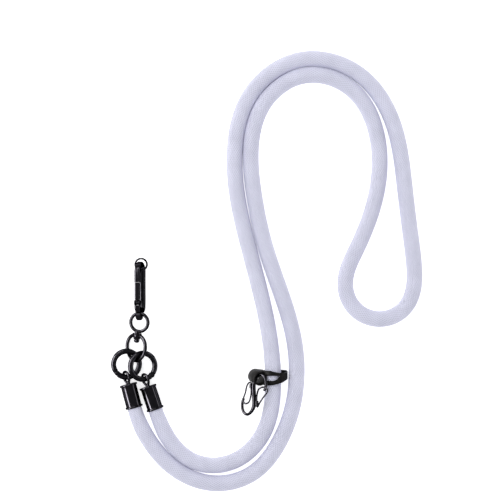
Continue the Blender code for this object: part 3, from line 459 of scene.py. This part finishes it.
for name, low, high in (("upper_ear", RING_EAR_INSIDE, RING_EAR_OUTSIDE),
                        ("lower_ear", -RING_EAR_OUTSIDE, -RING_EAR_INSIDE)):
    ears.append(turned_piece(name, [
        (RING_EAR_RADIUS - RING_EAR_EDGE, low), (RING_EAR_RADIUS, low + RING_EAR_EDGE),
        (RING_EAR_RADIUS, high - RING_EAR_EDGE), (RING_EAR_RADIUS - RING_EAR_EDGE, high)], 36))
rivet_top = RING_EAR_OUTSIDE + RING_RIVET_STANDS
rivet_top_radius = RING_RIVET_RADIUS * RING_RIVET_TOP_SHARE
rivet = turned_piece("ring_rivet", [
    (rivet_top_radius, -rivet_top), (RING_RIVET_RADIUS, -RING_EAR_OUTSIDE),
    (RING_RIVET_RADIUS, RING_EAR_OUTSIDE), (rivet_top_radius, rivet_top)], 24)
for item in ears + [rivet]:
    item.data.transform(Matrix.Translation((pivot_x, pivot_y, 0.0)))
right_ring = joined("right_ring", [ring_bar] + ears + [rivet])
left_ring = copied(right_ring, "left_ring")

# Ring gates: a length of the same bar with a flat tongue that sits in the fork, on the rivet.
# A small spring inside the fork holds each gate shut.
GATE_WIRE_RADIUS = 1.68 * MM
GATE_TONGUE_RADIUS = 1.5 * MM
GATE_TONGUE_HALF = 0.5 * MM
GATE_HOLE_RADIUS = RING_RIVET_RADIUS + 0.1 * MM
GATE_CLEAR_DEG = 0.9
GATE_NECK_AT = 0.8
GATE_NECK_SIZE = (2 * GATE_TONGUE_RADIUS, 2.2 * MM, 2 * GATE_TONGUE_HALF * 0.98)
gate_start_deg = RING_PIVOT_DEG + ear_turn_deg + GATE_CLEAR_DEG
gate_arc = arc((0.0, 0.0), RING_RADIUS, gate_start_deg, RING_TIP_DEG - RING_JOINT_GAP_DEG, 32)
gate_bar = wire_piece("gate_bar", [(x, y, 0.0) for x, y in gate_arc], GATE_WIRE_RADIUS, 24)
tongue = turned_piece("gate_tongue", [
    (GATE_HOLE_RADIUS, -GATE_TONGUE_HALF), (GATE_TONGUE_RADIUS, -GATE_TONGUE_HALF),
    (GATE_TONGUE_RADIUS, GATE_TONGUE_HALF), (GATE_HOLE_RADIUS, GATE_TONGUE_HALF),
    (GATE_HOLE_RADIUS, -GATE_TONGUE_HALF)], 32)
tongue.data.transform(Matrix.Translation((pivot_x, pivot_y, 0.0)))
neck = block("gate_neck", GATE_NECK_SIZE)
neck_deg = RING_PIVOT_DEG + ear_turn_deg * GATE_NECK_AT
neck_x, neck_y = arc((0.0, 0.0), RING_RADIUS, neck_deg, 0, 2)[0]
neck_turn = Matrix.Rotation(math.radians(neck_deg), 4, "Z")
neck.data.transform(Matrix.Translation((neck_x, neck_y, 0.0)) @ neck_turn)
right_gate = joined("right_gate", [gate_bar, tongue, neck])
left_gate = copied(right_gate, "left_gate")
ring_frames = {}
for side, ring, gate in (("left", left_ring, left_gate), ("right", right_ring, right_gate)):
    foot, pitch_deg, roll_deg, over_deg = RING_PLACES[side]
    standing = tilted_frame([value * MM for value in foot], pitch_deg, roll_deg)
    ring_frames[side] = standing @ Matrix.Translation((0.0, RING_RADIUS, 0.0))
    placing = ring_frames[side] @ Matrix.Rotation(math.radians(over_deg), 4, "Y")
    finished(ring, placing, plating, "gate_ring_" + side, "strap")
    finished(gate, placing, plating, "ring_gate_" + side, "ring_gate_" + side)

# Swivel: an egg-shaped wire ring with a turned barrel soldered on it. The barrel tapers
# towards the ring and has a collar at its top, where the upper ring's shank comes out.
SWIVEL_PITCH_DEG = 5.3
SWIVEL_ROLL_DEG = -41.6
SWIVEL_YAW_DEG = -8.0
SWIVEL_OVER_RINGS = Vector((0.122, 0.354, 0.105)) * RING_RADIUS
LOWER_HALF_WIDTH = 8.1 * MM
LOWER_HALF_LENGTH = 8.3 * MM
LOWER_TAPER = 0.10
LOWER_WIRE_RADIUS = 1.15 * MM
BARREL_AT = 7.4 * MM
BARREL_TOP = 2.0 * MM
SHANK_RADIUS = 1.2 * MM
SHANK_PLAY = 0.25 * MM
ring_middle = (ring_frames["left"].translation + ring_frames["right"].translation) / 2
swivel_centre = ring_middle + Vector((0.0, RING_RADIUS, 0.0)) + SWIVEL_OVER_RINGS
swivel = tilted_frame(swivel_centre, SWIVEL_PITCH_DEG, SWIVEL_ROLL_DEG, SWIVEL_YAW_DEG)
egg = []
for index in range(96):
    angle = 2 * math.pi * index / 96
    across = LOWER_HALF_WIDTH * math.cos(angle) * (1 + LOWER_TAPER * math.sin(angle))
    egg.append((across, LOWER_HALF_LENGTH * math.sin(angle), 0.0))
egg_ring = wire_piece("egg_ring", egg, LOWER_WIRE_RADIUS, 18, closed=True)
bore = SHANK_RADIUS + SHANK_PLAY
barrel = turned_piece("barrel", [
    (bore, -BARREL_TOP), (1.95 * MM, -BARREL_TOP), (2.1 * MM, -1.8 * MM), (2.45 * MM, 0.2 * MM),
    (2.6 * MM, 1.0 * MM), (2.9 * MM, 1.15 * MM), (3.0 * MM, 1.4 * MM), (2.9 * MM, 1.8 * MM),
    (2.6 * MM, BARREL_TOP), (bore, BARREL_TOP), (bore, -BARREL_TOP)], 40)
up_the_swivel = Matrix.Rotation(math.radians(-90), 4, "X")
barrel.data.transform(Matrix.Translation((0.0, BARREL_AT, 0.0)) @ up_the_swivel)
lower_ring = joined("lower_ring", [egg_ring, barrel])
finished(lower_ring, swivel, plating, "swivel_lower_ring", "strap")

# Upper ring: round wire on a shank that turns in the barrel. A domed head under the barrel
# keeps the shank in it.
UPPER_RADIUS = 5.75 * MM
UPPER_WIRE_RADIUS = 1.1 * MM
UPPER_SPIN_DEG = 27.0
UPPER_LEAN_DEG = 9.0
SHANK_END_PLAY = 0.3 * MM
SHANK_ABOVE = 0.95 * MM
shank_top = BARREL_TOP + SHANK_END_PLAY + SHANK_ABOVE
head_top = -BARREL_TOP - SHANK_END_PLAY
spun = swivel @ Matrix.Rotation(math.radians(UPPER_SPIN_DEG), 4, "Y")
upper_circle = wire_piece(
    "upper_circle", [(x, y, 0.0) for x, y in arc((0.0, UPPER_RADIUS), UPPER_RADIUS, 0, 356, 90)],
    UPPER_WIRE_RADIUS, 18, closed=True)
lean_turn = Matrix.Rotation(math.radians(-UPPER_LEAN_DEG), 4, "Z")
upper_circle.data.transform(Matrix.Translation((0.0, BARREL_AT + shank_top, 0.0)) @ lean_turn)
shank = turned_piece("shank", [
    (0.7 * MM, head_top - 1.9 * MM), (1.45 * MM, head_top - 1.6 * MM),
    (1.75 * MM, head_top - 1.0 * MM), (1.8 * MM, head_top - 0.3 * MM),
    (1.6 * MM, head_top), (SHANK_RADIUS, head_top),
    (SHANK_RADIUS, BARREL_TOP + 0.1 * MM), (1.6 * MM, BARREL_TOP + 0.12 * MM),
    (1.5 * MM, shank_top), (0.8 * MM, shank_top + 0.7 * MM)], 32)
shank.data.transform(Matrix.Translation((0.0, BARREL_AT, 0.0)) @ up_the_swivel)
upper_ring = joined("upper_ring", [upper_circle, shank])
finished(upper_ring, spun, plating, "swivel_upper_ring", "swivel")

# Snap hook: a die-cast hook with softened edges, standing on its spine, with an eye for the
# upper ring at its heel and a riveted fork for its gate.
HOOK_LEAN_DEG = 15.0
HOOK_SPACING = 10.7 * MM
HOOK_BAR = 3.5 * MM
HOOK_CORNER = 1.0 * MM
HOOK_TOP_Y = 25.9 * MM
HOOK_NOSE_Y = 19.85 * MM
HOOK_PIVOT_Y = 6.8 * MM
HOOK_EYE_X = 3.8 * MM
HOOK_ORIGIN_MM = (-39.31, 15.31, 12.24)
HOOK_HEEL_MM = [
    (10.7, 12.0), (10.6, 5.4), (9.5, 2.3), (5.4, 1.7), (1.3, 2.2), (0.1, 4.2), (0.0, 5.25),
]
HOOK_EYE_DROP = 1.3 * MM
HOOK_EAR_RADIUS = 1.9 * MM
HOOK_EAR_EDGE = 0.2 * MM
HOOK_EAR_INSIDE = 0.95 * MM
HOOK_RIVET_RADIUS = 0.75 * MM
HOOK_RIVET_TOP_RADIUS = 0.5 * MM
HOOK_RIVET_STANDS = 0.15 * MM
hook_lean = math.radians(HOOK_LEAN_DEG)
hook = axes_frame([value * MM for value in HOOK_ORIGIN_MM],
                  (math.sin(hook_lean), 0.0, -math.cos(hook_lean)), (0.0, 1.0, 0.0))


def rounded_square(name, width, corner):
    """A square section with round corners, for a bar to be swept along its line."""
    half = width / 2 - corner
    outline = []
    for quarter, (x, y) in enumerate(((half, half), (-half, half), (-half, -half), (half, -half))):
        outline += arc((x, y), corner, 90 * quarter, 90 * quarter + 90, 6)
    curve = bpy.data.curves.new(name, "CURVE")
    spline = curve.splines.new("POLY")
    spline.points.add(len(outline) - 1)
    for index, (x, y) in enumerate(outline):
        spline.points[index].co = (x, y, 0.0, 1.0)
    spline.use_cyclic_u = True
    section = bpy.data.objects.new(name, curve)
    bpy.context.scene.collection.objects.link(section)
    return section


hook_section = rounded_square("hook_section", HOOK_BAR, HOOK_CORNER)
half_spacing = HOOK_SPACING / 2
crook = arc((half_spacing, HOOK_TOP_Y), half_spacing, 180, 0, 33)
heel = [(x * MM, y * MM) for x, y in HOOK_HEEL_MM]
spine = smooth_curve([(HOOK_SPACING, HOOK_TOP_Y)] + heel, 8)[1:]
hook_line = [(0.0, HOOK_NOSE_Y)] + crook + [tuple(point) for point in spine]
hook_bar = wire_piece(
    "hook_bar", [(float(x), float(y), 0.0) for x, y in hook_line], section=hook_section)
bpy.data.objects.remove(hook_section, do_unlink=True)
eye_half = HOOK_BAR / 2
hook_eye = turned_piece("hook_eye", [
    (1.5 * MM, -eye_half + 0.3 * MM), (1.8 * MM, -eye_half), (2.7 * MM, -eye_half),
    (3.2 * MM, -eye_half + 0.6 * MM), (3.2 * MM, eye_half - 0.6 * MM), (2.7 * MM, eye_half),
    (1.8 * MM, eye_half), (1.5 * MM, eye_half - 0.3 * MM), (1.5 * MM, -eye_half + 0.3 * MM)], 48)
hook_eye.data.transform(Matrix.Translation((HOOK_EYE_X, -HOOK_EYE_DROP, 0.0)))
hook_ears = []
for name, low, high in (("hook_upper_ear", HOOK_EAR_INSIDE, eye_half),
                        ("hook_lower_ear", -eye_half, -HOOK_EAR_INSIDE)):
    hook_ears.append(turned_piece(name, [
        (HOOK_EAR_RADIUS - HOOK_EAR_EDGE, low), (HOOK_EAR_RADIUS, low + HOOK_EAR_EDGE),
        (HOOK_EAR_RADIUS, high - HOOK_EAR_EDGE), (HOOK_EAR_RADIUS - HOOK_EAR_EDGE, high)], 36))
hook_rivet = turned_piece("hook_rivet", [
    (HOOK_RIVET_TOP_RADIUS, -eye_half - HOOK_RIVET_STANDS), (HOOK_RIVET_RADIUS, -eye_half),
    (HOOK_RIVET_RADIUS, eye_half), (HOOK_RIVET_TOP_RADIUS, eye_half + HOOK_RIVET_STANDS)], 24)
for item in hook_ears + [hook_rivet]:
    item.data.transform(Matrix.Translation((0.0, HOOK_PIVOT_Y, 0.0)))
hook_piece = joined("snap_hook", [hook_bar, hook_eye] + hook_ears + [hook_rivet])
finished(hook_piece, hook, plating, "hook_body", "swivel")

# Hook gate: a straight bar with a tongue on the hook's rivet, sprung shut against the nose.
HOOK_GATE_WIDTH = 3.2 * MM
HOOK_GATE_CORNER = 0.8 * MM
HOOK_GATE_STEPS = 6
HOOK_TONGUE_RADIUS = 1.4 * MM
HOOK_TONGUE_HOLE = 0.85 * MM
HOOK_TONGUE_HALF = 0.6 * MM
HOOK_NECK_SIZE = (2.7 * MM, 1.4 * MM, 1.18 * MM)
HOOK_NECK_ABOVE = 1.65 * MM
hook_gate_low = HOOK_PIVOT_Y + 2.0 * MM
hook_gate_high = HOOK_NOSE_Y - 0.12 * MM
gate_section = rounded_square("gate_section", HOOK_GATE_WIDTH, HOOK_GATE_CORNER)
gate_line = []
for step in range(HOOK_GATE_STEPS + 1):
    along_gate = hook_gate_low + (hook_gate_high - hook_gate_low) * step / HOOK_GATE_STEPS
    gate_line.append((0.0, along_gate, 0.0))
hook_gate_bar = wire_piece("hook_gate_bar", gate_line, section=gate_section)
bpy.data.objects.remove(gate_section, do_unlink=True)
hook_tongue = turned_piece("hook_tongue", [
    (HOOK_TONGUE_HOLE, -HOOK_TONGUE_HALF), (HOOK_TONGUE_RADIUS, -HOOK_TONGUE_HALF),
    (HOOK_TONGUE_RADIUS, HOOK_TONGUE_HALF), (HOOK_TONGUE_HOLE, HOOK_TONGUE_HALF),
    (HOOK_TONGUE_HOLE, -HOOK_TONGUE_HALF)], 32)
hook_tongue.data.transform(Matrix.Translation((0.0, HOOK_PIVOT_Y, 0.0)))
hook_gate_neck = block("hook_gate_neck", HOOK_NECK_SIZE)
hook_gate_neck.data.transform(Matrix.Translation((0.0, HOOK_PIVOT_Y + HOOK_NECK_ABOVE, 0.0)))
hook_gate = joined("snap_hook_gate", [hook_gate_bar, hook_tongue, hook_gate_neck])
finished(hook_gate, hook, plating, "hook_gate", "hook_gate")

# Small ring: thin hard wire bent round, its two ends butted with a fine gap. It hangs in the
# hook's crook.
SMALL_RING_RADIUS = 3.75 * MM
SMALL_RING_WIRE_RADIUS = 0.6 * MM
SMALL_RING_SHIFT = Vector((0.7 * MM, -0.1 * MM, 0.0))
crook_top = hook @ Vector((half_spacing, HOOK_TOP_Y + half_spacing, 0.0))
small_ring_centre = crook_top + SMALL_RING_SHIFT
small_ring = wire_piece(
    "small_ring", [(x, y, 0.0) for x, y in arc((0.0, 0.0), SMALL_RING_RADIUS, 92, 450, 72)],
    SMALL_RING_WIRE_RADIUS, 14)
finished(small_ring, Matrix.Translation(small_ring_centre), plating, "small_wire_ring", "swivel")

# Leather: matt black hide with a pebbled grain and slightly browner high spots, on both the
# loop and the roll.
hide = bpy.data.materials.new("black_leather")
hide.use_nodes = True
tree = hide.node_tree
nodes = tree.nodes
links = tree.links
shader = nodes["Principled BSDF"]
place = nodes.new("ShaderNodeTexCoord")
pebbles = nodes.new("ShaderNodeTexVoronoi")
pebbles.feature = "SMOOTH_F1"
pebbles.inputs["Scale"].default_value = 1500.0
links.new(place.outputs["Object"], pebbles.inputs["Vector"])
creases = nodes.new("ShaderNodeTexNoise")
creases.inputs["Scale"].default_value = 600.0
creases.inputs["Detail"].default_value = 5.0
links.new(place.outputs["Object"], creases.inputs["Vector"])
grain = math_node(tree, "ADD", math_node(tree, "MULTIPLY", pebbles.outputs["Distance"], -0.7),
                  math_node(tree, "MULTIPLY", creases.outputs[0], 0.5))
tint = nodes.new("ShaderNodeValToRGB")
tint.color_ramp.elements[0].position = 0.3
tint.color_ramp.elements[0].color = (0.004, 0.0035, 0.0035, 1.0)
tint.color_ramp.elements[1].position = 0.75
tint.color_ramp.elements[1].color = (0.014, 0.012, 0.011, 1.0)
links.new(creases.outputs[0], tint.inputs["Fac"])
links.new(tint.outputs["Color"], shader.inputs["Base Color"])
shader.inputs["Roughness"].default_value = 0.5
shader.inputs["Specular IOR Level"].default_value = 0.09
bump = nodes.new("ShaderNodeBump")
bump.inputs["Strength"].default_value = 0.5
bump.inputs["Distance"].default_value = 0.25 * MM
links.new(grain, bump.inputs["Height"])
links.new(bump.outputs["Normal"], shader.inputs["Normal"])

# Leather loop: a strip wrapped round the rope. On top it is cut to two narrow strands that
# leave the rope in sight, and its lower edge slopes up to the right.
TAB_X = 47.1 * MM
TAB_WIDTH = 9.2 * MM
TAB_TOP_Y = ROPE_TAB_Y + TAB_WIDTH / 2
TAB_MIDDLE_Z = 6.5 * MM
TAB_SKIN_RADIUS = 5.95 * MM
TAB_THICKNESS = 1.0 * MM
TAB_LEFT = -0.5 * MM
TAB_RIGHT = 2.9 * MM
TAB_COLUMNS = 72
TAB_BANDS = 3
TAB_BAND_ROWS = 4
TAB_SOFT_EDGE = 0.25 * MM
WINDOW_REACH_MM = 4.6
# Edges by how far right of the loop's middle they lie, in millimetres: upper edge on top and
# below, the window's two edges, and the lower edge, all as shares of the width
EDGE_AT = [-7.0, -4.4, -2.0, 0.0, 0.65, 2.3, 4.4, 5.8, 9.1, 9.5]
UPPER_EDGE = [0.0, 0.0, 0.0, 0.06, 0.09, 0.11, 0.14, 0.14, 0.14, 0.14]
WINDOW_TOP = [0.33, 0.33, 0.34, 0.34, 0.34, 0.35, 0.36, 0.37, 0.38, 0.38]
WINDOW_LOW = [0.71, 0.71, 0.70, 0.70, 0.68, 0.61, 0.38, 0.40, 0.42, 0.42]
LOWER_EDGE = [1.0, 1.0, 1.0, 0.99, 0.97, 0.93, 0.86, 0.82, 0.57, 0.57]
straight = TAB_RIGHT - TAB_LEFT
half_turn = math.pi * TAB_SKIN_RADIUS
girth = 2 * (straight + half_turn)
bpy.ops.object.select_all(action="DESELECT")
bpy.ops.mesh.primitive_grid_add(
    x_subdivisions=TAB_COLUMNS, y_subdivisions=TAB_BANDS * TAB_BAND_ROWS, size=2.0)
loop_strip = bpy.context.active_object
loop_strip.name = "leather_loop"
for vertex in loop_strip.data.vertices:
    run = (vertex.co.x + 1) / 2 * girth
    down = (1 - vertex.co.y) / 2 * TAB_BANDS
    if run < half_turn:
        angle = math.pi / 2 + run / TAB_SKIN_RADIUS
        x = TAB_LEFT + TAB_SKIN_RADIUS * math.cos(angle)
        z = TAB_SKIN_RADIUS * math.sin(angle)
    elif run < half_turn + straight:
        x = TAB_LEFT + run - half_turn
        z = -TAB_SKIN_RADIUS
    elif run < 2 * half_turn + straight:
        angle = (run - half_turn - straight) / TAB_SKIN_RADIUS - math.pi / 2
        x = TAB_RIGHT + TAB_SKIN_RADIUS * math.cos(angle)
        z = TAB_SKIN_RADIUS * math.sin(angle)
    else:
        x = TAB_RIGHT - (run - 2 * half_turn - straight)
        z = TAB_SKIN_RADIUS
    on_top = min(max(z / TAB_SKIN_RADIUS + 0.5, 0.0), 1.0)
    upper = np.interp(x / MM, EDGE_AT, UPPER_EDGE) * on_top
    edges = [upper, np.interp(x / MM, EDGE_AT, WINDOW_TOP), np.interp(x / MM, EDGE_AT, WINDOW_LOW),
             np.interp(x / MM, EDGE_AT, LOWER_EDGE)]
    share = float(np.interp(down, range(TAB_BANDS + 1), edges))
    vertex.co = (TAB_X + x, TAB_TOP_Y - share * TAB_WIDTH, TAB_MIDDLE_Z + z)
only(loop_strip)
bpy.ops.object.mode_set(mode="EDIT")
bpy.ops.mesh.select_all(action="SELECT")
bpy.ops.mesh.remove_doubles(threshold=MERGE_DISTANCE)
bpy.ops.mesh.select_mode(type="FACE")
bpy.ops.mesh.select_all(action="DESELECT")
bpy.ops.object.mode_set(mode="OBJECT")
for face in loop_strip.data.polygons:
    x, y, z = face.center
    away = (x - TAB_X) / MM
    share = (TAB_TOP_Y - y) / TAB_WIDTH
    inside = np.interp(away, EDGE_AT, WINDOW_TOP) < share < np.interp(away, EDGE_AT, WINDOW_LOW)
    face.select = bool(inside and abs(away) < WINDOW_REACH_MM and z > TAB_MIDDLE_Z)
bpy.ops.object.mode_set(mode="EDIT")
bpy.ops.mesh.delete(type="FACE")
bpy.ops.mesh.select_all(action="SELECT")
bpy.ops.mesh.normals_make_consistent(inside=False)
bpy.ops.object.mode_set(mode="OBJECT")
skin = loop_strip.modifiers.new("skin", "SOLIDIFY")
skin.thickness = TAB_THICKNESS
skin.offset = 0.0
bpy.ops.object.modifier_apply(modifier="skin")
soft_edge = loop_strip.modifiers.new("soft_edge", "BEVEL")
soft_edge.width = TAB_SOFT_EDGE
soft_edge.segments = 3
soft_edge.limit_method = "ANGLE"
soft_edge.angle_limit = math.radians(55)
bpy.ops.object.modifier_apply(modifier="soft_edge")

# Leather roll: the end of the same strip, rolled to a short tube for the clip. It stands
# beside the loop and leans, with its cut rim up.
ROLL_RADIUS = 4.6 * MM
ROLL_WALL = 1.15 * MM
ROLL_HALF = 4.8 * MM
ROLL_EDGE = 0.3 * MM
ROLL_CENTRE = (37.1 * MM, -25.6 * MM, 6.6 * MM)
ROLL_AXIS = (0.42, -0.17, 0.89)
roll_axis = Vector(ROLL_AXIS).normalized()
roll_across = Vector((0.0, 1.0, 0.0)).cross(roll_axis).normalized()
roll_frame = axes_frame(ROLL_CENTRE, roll_across, roll_axis.cross(roll_across))
roll_bore = ROLL_RADIUS - ROLL_WALL
roll_piece = turned_piece("leather_roll", [
    (roll_bore, -ROLL_HALF + ROLL_EDGE), (roll_bore + ROLL_EDGE, -ROLL_HALF),
    (ROLL_RADIUS - ROLL_EDGE, -ROLL_HALF), (ROLL_RADIUS, -ROLL_HALF + ROLL_EDGE),
    (ROLL_RADIUS, 0.0), (ROLL_RADIUS, ROLL_HALF - ROLL_EDGE), (ROLL_RADIUS - ROLL_EDGE, ROLL_HALF),
    (roll_bore + ROLL_EDGE, ROLL_HALF), (roll_bore, ROLL_HALF - ROLL_EDGE),
    (roll_bore, -ROLL_HALF + ROLL_EDGE)], 56)
roll_piece.data.transform(roll_frame)

# Where the strip leaves the loop it runs straight on to the roll's far side, so the two share
# one upper edge.
JOIN_SIZE = (5.2 * MM, ROLL_WALL, 6.4 * MM)
JOIN_CENTRE = (2.6 * MM, ROLL_RADIUS - 0.7 * MM, -0.4 * MM)
JOIN_SLOPE_DEG = -7.0
join_piece = block("leather_join", JOIN_SIZE)
join_slope = Matrix.Rotation(math.radians(JOIN_SLOPE_DEG), 4, "Z")
join_piece.data.transform(Matrix.Translation(JOIN_CENTRE) @ join_slope)
join_edge = join_piece.modifiers.new("join_edge", "BEVEL")
join_edge.width = ROLL_EDGE
join_edge.segments = 3
bpy.ops.object.modifier_apply(modifier="join_edge")
join_piece.data.transform(roll_frame)
leather = joined("leather_tab_skin", [loop_strip, roll_piece, join_piece])
finished(leather, Matrix.Identity(4), hide, "leather_tab", "strap", crease_deg=50)

# S clip: a plated rod bent to an S, thick at its waist, with a small bored lug on each side
# of the waist for a wire gate.
CLIP_ROD_RADIUS = 0.9 * MM
CLIP_WAIST_RADIUS = 1.4 * MM
CLIP_WIRE_RADIUS = 0.52 * MM
CLIP_TILT_DEG = 38.5
CLIP_CENTRE = (34.89 * MM, -36.68 * MM, 7.75 * MM)
CLIP_LUG_HALF = 1.4 * MM
CLIP_LUG_RADIUS = 1.12 * MM
CLIP_LUG_BORE = 0.6 * MM
CLIP_LUG_FACE_RADIUS = 0.95 * MM
CLIP_LUG_EDGE = 0.2 * MM
CLIP_WEB_RADIUS = 1.1 * MM
CLIP_WEB_ACROSS = [-1.6 * MM, -1.3 * MM, -1.0 * MM]
CLIP_STAND_OFF = 2.15 * MM
CLIP_LUG_ALONG = 5.3 * MM
CLIP_HALF_MM = [
    (0.0, 0.0, 1.0), (0.3, -3.7, 1.0), (0.2, -6.4, 0.9), (-0.8, -9.1, 0.6), (-2.9, -11.7, 0.2),
    (-5.6, -12.9, 0.0), (-8.1, -11.8, 0.0), (-9.5, -9.1, 0.0), (-9.6, -6.4, 0.0), (-9.0, -4.0, 0.0),
    (-8.4, -2.9, 0.0),
]
clip_tilt = math.radians(CLIP_TILT_DEG)
clip = axes_frame(CLIP_CENTRE, (math.cos(clip_tilt), 0.0, math.sin(clip_tilt)), (0.0, 1.0, 0.0))
half_line = smooth_curve(CLIP_HALF_MM, 10).tolist()
clip_line = [(-x, -y, share) for x, y, share in reversed(half_line[1:])] + half_line
clip_radii = [CLIP_ROD_RADIUS + (CLIP_WAIST_RADIUS - CLIP_ROD_RADIUS) * min(max(share, 0.0), 1.0)
              for x, y, share in clip_line]
clip_rod = wire_piece("clip_rod", [(x * MM, y * MM, 0.0) for x, y, share in clip_line],
                      CLIP_WAIST_RADIUS, 20, [radius / CLIP_WAIST_RADIUS for radius in clip_radii])
waist_x, waist_y = CLIP_HALF_MM[2][0] * MM, CLIP_HALF_MM[2][1] * MM
waist_turn = Matrix.Rotation(math.atan2(waist_x, -waist_y), 4, "Z")
hinge = Matrix.Translation((CLIP_STAND_OFF + waist_x, -CLIP_LUG_ALONG, 0.0)) @ waist_turn
clip_pieces = [clip_rod]
for half_turn_deg in (0.0, 180.0):
    side_turn = Matrix.Rotation(math.radians(half_turn_deg), 4, "Z")
    lug = turned_piece("clip_lug", [
        (CLIP_LUG_BORE, -CLIP_LUG_HALF), (CLIP_LUG_FACE_RADIUS, -CLIP_LUG_HALF),
        (CLIP_LUG_RADIUS, -CLIP_LUG_HALF + CLIP_LUG_EDGE),
        (CLIP_LUG_RADIUS, CLIP_LUG_HALF - CLIP_LUG_EDGE),
        (CLIP_LUG_FACE_RADIUS, CLIP_LUG_HALF), (CLIP_LUG_BORE, CLIP_LUG_HALF),
        (CLIP_LUG_BORE, -CLIP_LUG_HALF)], 24)
    lug.data.transform(side_turn @ hinge @ Matrix.Rotation(math.radians(90), 4, "X"))
    web = wire_piece("clip_web", [(x, 0.0, 0.0) for x in CLIP_WEB_ACROSS], CLIP_WEB_RADIUS, 14)
    web.data.transform(side_turn @ hinge)
    clip_pieces += [lug, web]
clip_piece = joined("s_clip", clip_pieces)
finished(clip_piece, clip, plating, "s_clip_body", "strap")

# Wire gates: thin spring wire, each end hooked into its lug's bore from one side, closing
# over the loop of the S.
GATE_LIFT_MM = 1.65
GATE_LIFTED_BY_MM = 3.0
GATE_RUNS_MM = {
    "upper": [
        (0.0, -1.2), (0.0, -1.9), (0.6, -2.4), (1.8, -1.7), (5.2, 2.2), (8.2, 5.4), (9.8, 7.1),
        (10.1, 8.5), (9.2, 9.7), (7.5, 10.3), (5.4, 10.1), (3.2, 9.0), (1.5, 7.2), (0.4, 4.9),
        (0.0, 3.2), (0.0, 1.9), (0.0, 1.2),
    ],
    "lower": [
        (0.0, -1.2), (0.0, -1.9), (0.6, -2.4), (1.7, -1.6), (3.2, 3.2), (5.0, 7.2), (5.5, 8.8),
        (4.9, 10.4), (3.4, 11.1), (1.7, 10.4), (0.8, 8.4), (0.2, 5.6), (0.0, 3.4), (0.0, 1.9),
        (0.0, 1.2),
    ],
}
for name, half_turn_deg in (("upper", 0.0), ("lower", 180.0)):
    run = [(x, y, GATE_LIFT_MM * min(x / GATE_LIFTED_BY_MM, 1.0)) for x, y in GATE_RUNS_MM[name]]
    run = [(0.0, -0.2, 0.0)] + run + [(0.0, 0.2, 0.0)]
    wire_line = smooth_curve(run, 8) * MM
    wire_gate = wire_piece("wire_gate_" + name, wire_line.tolist(), CLIP_WIRE_RADIUS, 12)
    side_turn = Matrix.Rotation(math.radians(half_turn_deg), 4, "Z")
    finished(wire_gate, clip @ side_turn @ hinge, plating, "s_clip_gate_" + name,
             "clip_gate_" + name, crease_deg=60)

# Table: a plain white surface, wide enough to fill every view.
bpy.ops.object.select_all(action="DESELECT")
bpy.ops.mesh.primitive_plane_add(size=6.0, location=(0.03, 0.05, 0.0))
table = bpy.context.active_object
table.name = "white_table"
paper = bpy.data.materials.new("white_paper")
paper.use_nodes = True
shader = paper.node_tree.nodes["Principled BSDF"]
shader.inputs["Base Color"].default_value = (0.86, 0.86, 0.865, 1.0)
shader.inputs["Roughness"].default_value = 0.9
shader.inputs["Emission Color"].default_value = (1.0, 1.0, 1.0, 1.0)
shader.inputs["Emission Strength"].default_value = 0.7
table.data.materials.append(paper)

# Light: an even white studio. The plated pieces mirror a darker room than the one that lights
# the strap, with bright panels at both sides that draw their sharp white lines.
world = bpy.data.worlds.new("studio")
world.use_nodes = True
nodes = world.node_tree.nodes
links = world.node_tree.links
room = nodes["Background"]
room.inputs["Color"].default_value = (0.95, 0.96, 1.0, 1.0)
room.inputs["Strength"].default_value = 0.74
mirrored = nodes.new("ShaderNodeBackground")
mirrored.inputs["Color"].default_value = (0.95, 0.96, 1.0, 1.0)
mirrored.inputs["Strength"].default_value = 0.32
ray = nodes.new("ShaderNodeLightPath")
choice = nodes.new("ShaderNodeMixShader")
links.new(ray.outputs["Is Glossy Ray"], choice.inputs[0])
links.new(room.outputs[0], choice.inputs[1])
links.new(mirrored.outputs[0], choice.inputs[2])
links.new(choice.outputs[0], nodes["World Output"].inputs["Surface"])
bpy.context.scene.world = world
bpy.context.scene.view_settings.view_transform = "Standard"
for name, offset, size, power, lights_all in (
        ("soft_box", (-0.7, 0.8, 1.3), (1.2, 1.2), 9.0, True),
        ("left_panel", (-0.78, 0.1, 0.44), (1.1, 0.26), 22.0, False),
        ("right_panel", (0.85, 0.1, 0.30), (1.1, 0.10), 2.2, False),
        ("upper_panel", (-0.25, 0.9, 0.7), (0.5, 0.12), 3.0, False)):
    lamp_data = bpy.data.lights.new(name, "AREA")
    lamp_data.shape = "RECTANGLE"
    lamp_data.size = size[0]
    lamp_data.size_y = size[1]
    lamp_data.energy = power
    lamp = bpy.data.objects.new(name, lamp_data)
    lamp.location = offset
    lamp.rotation_euler = (-Vector(offset)).to_track_quat("-Z", "Y").to_euler()
    lamp.visible_diffuse = lights_all
    bpy.context.scene.collection.objects.link(lamp)
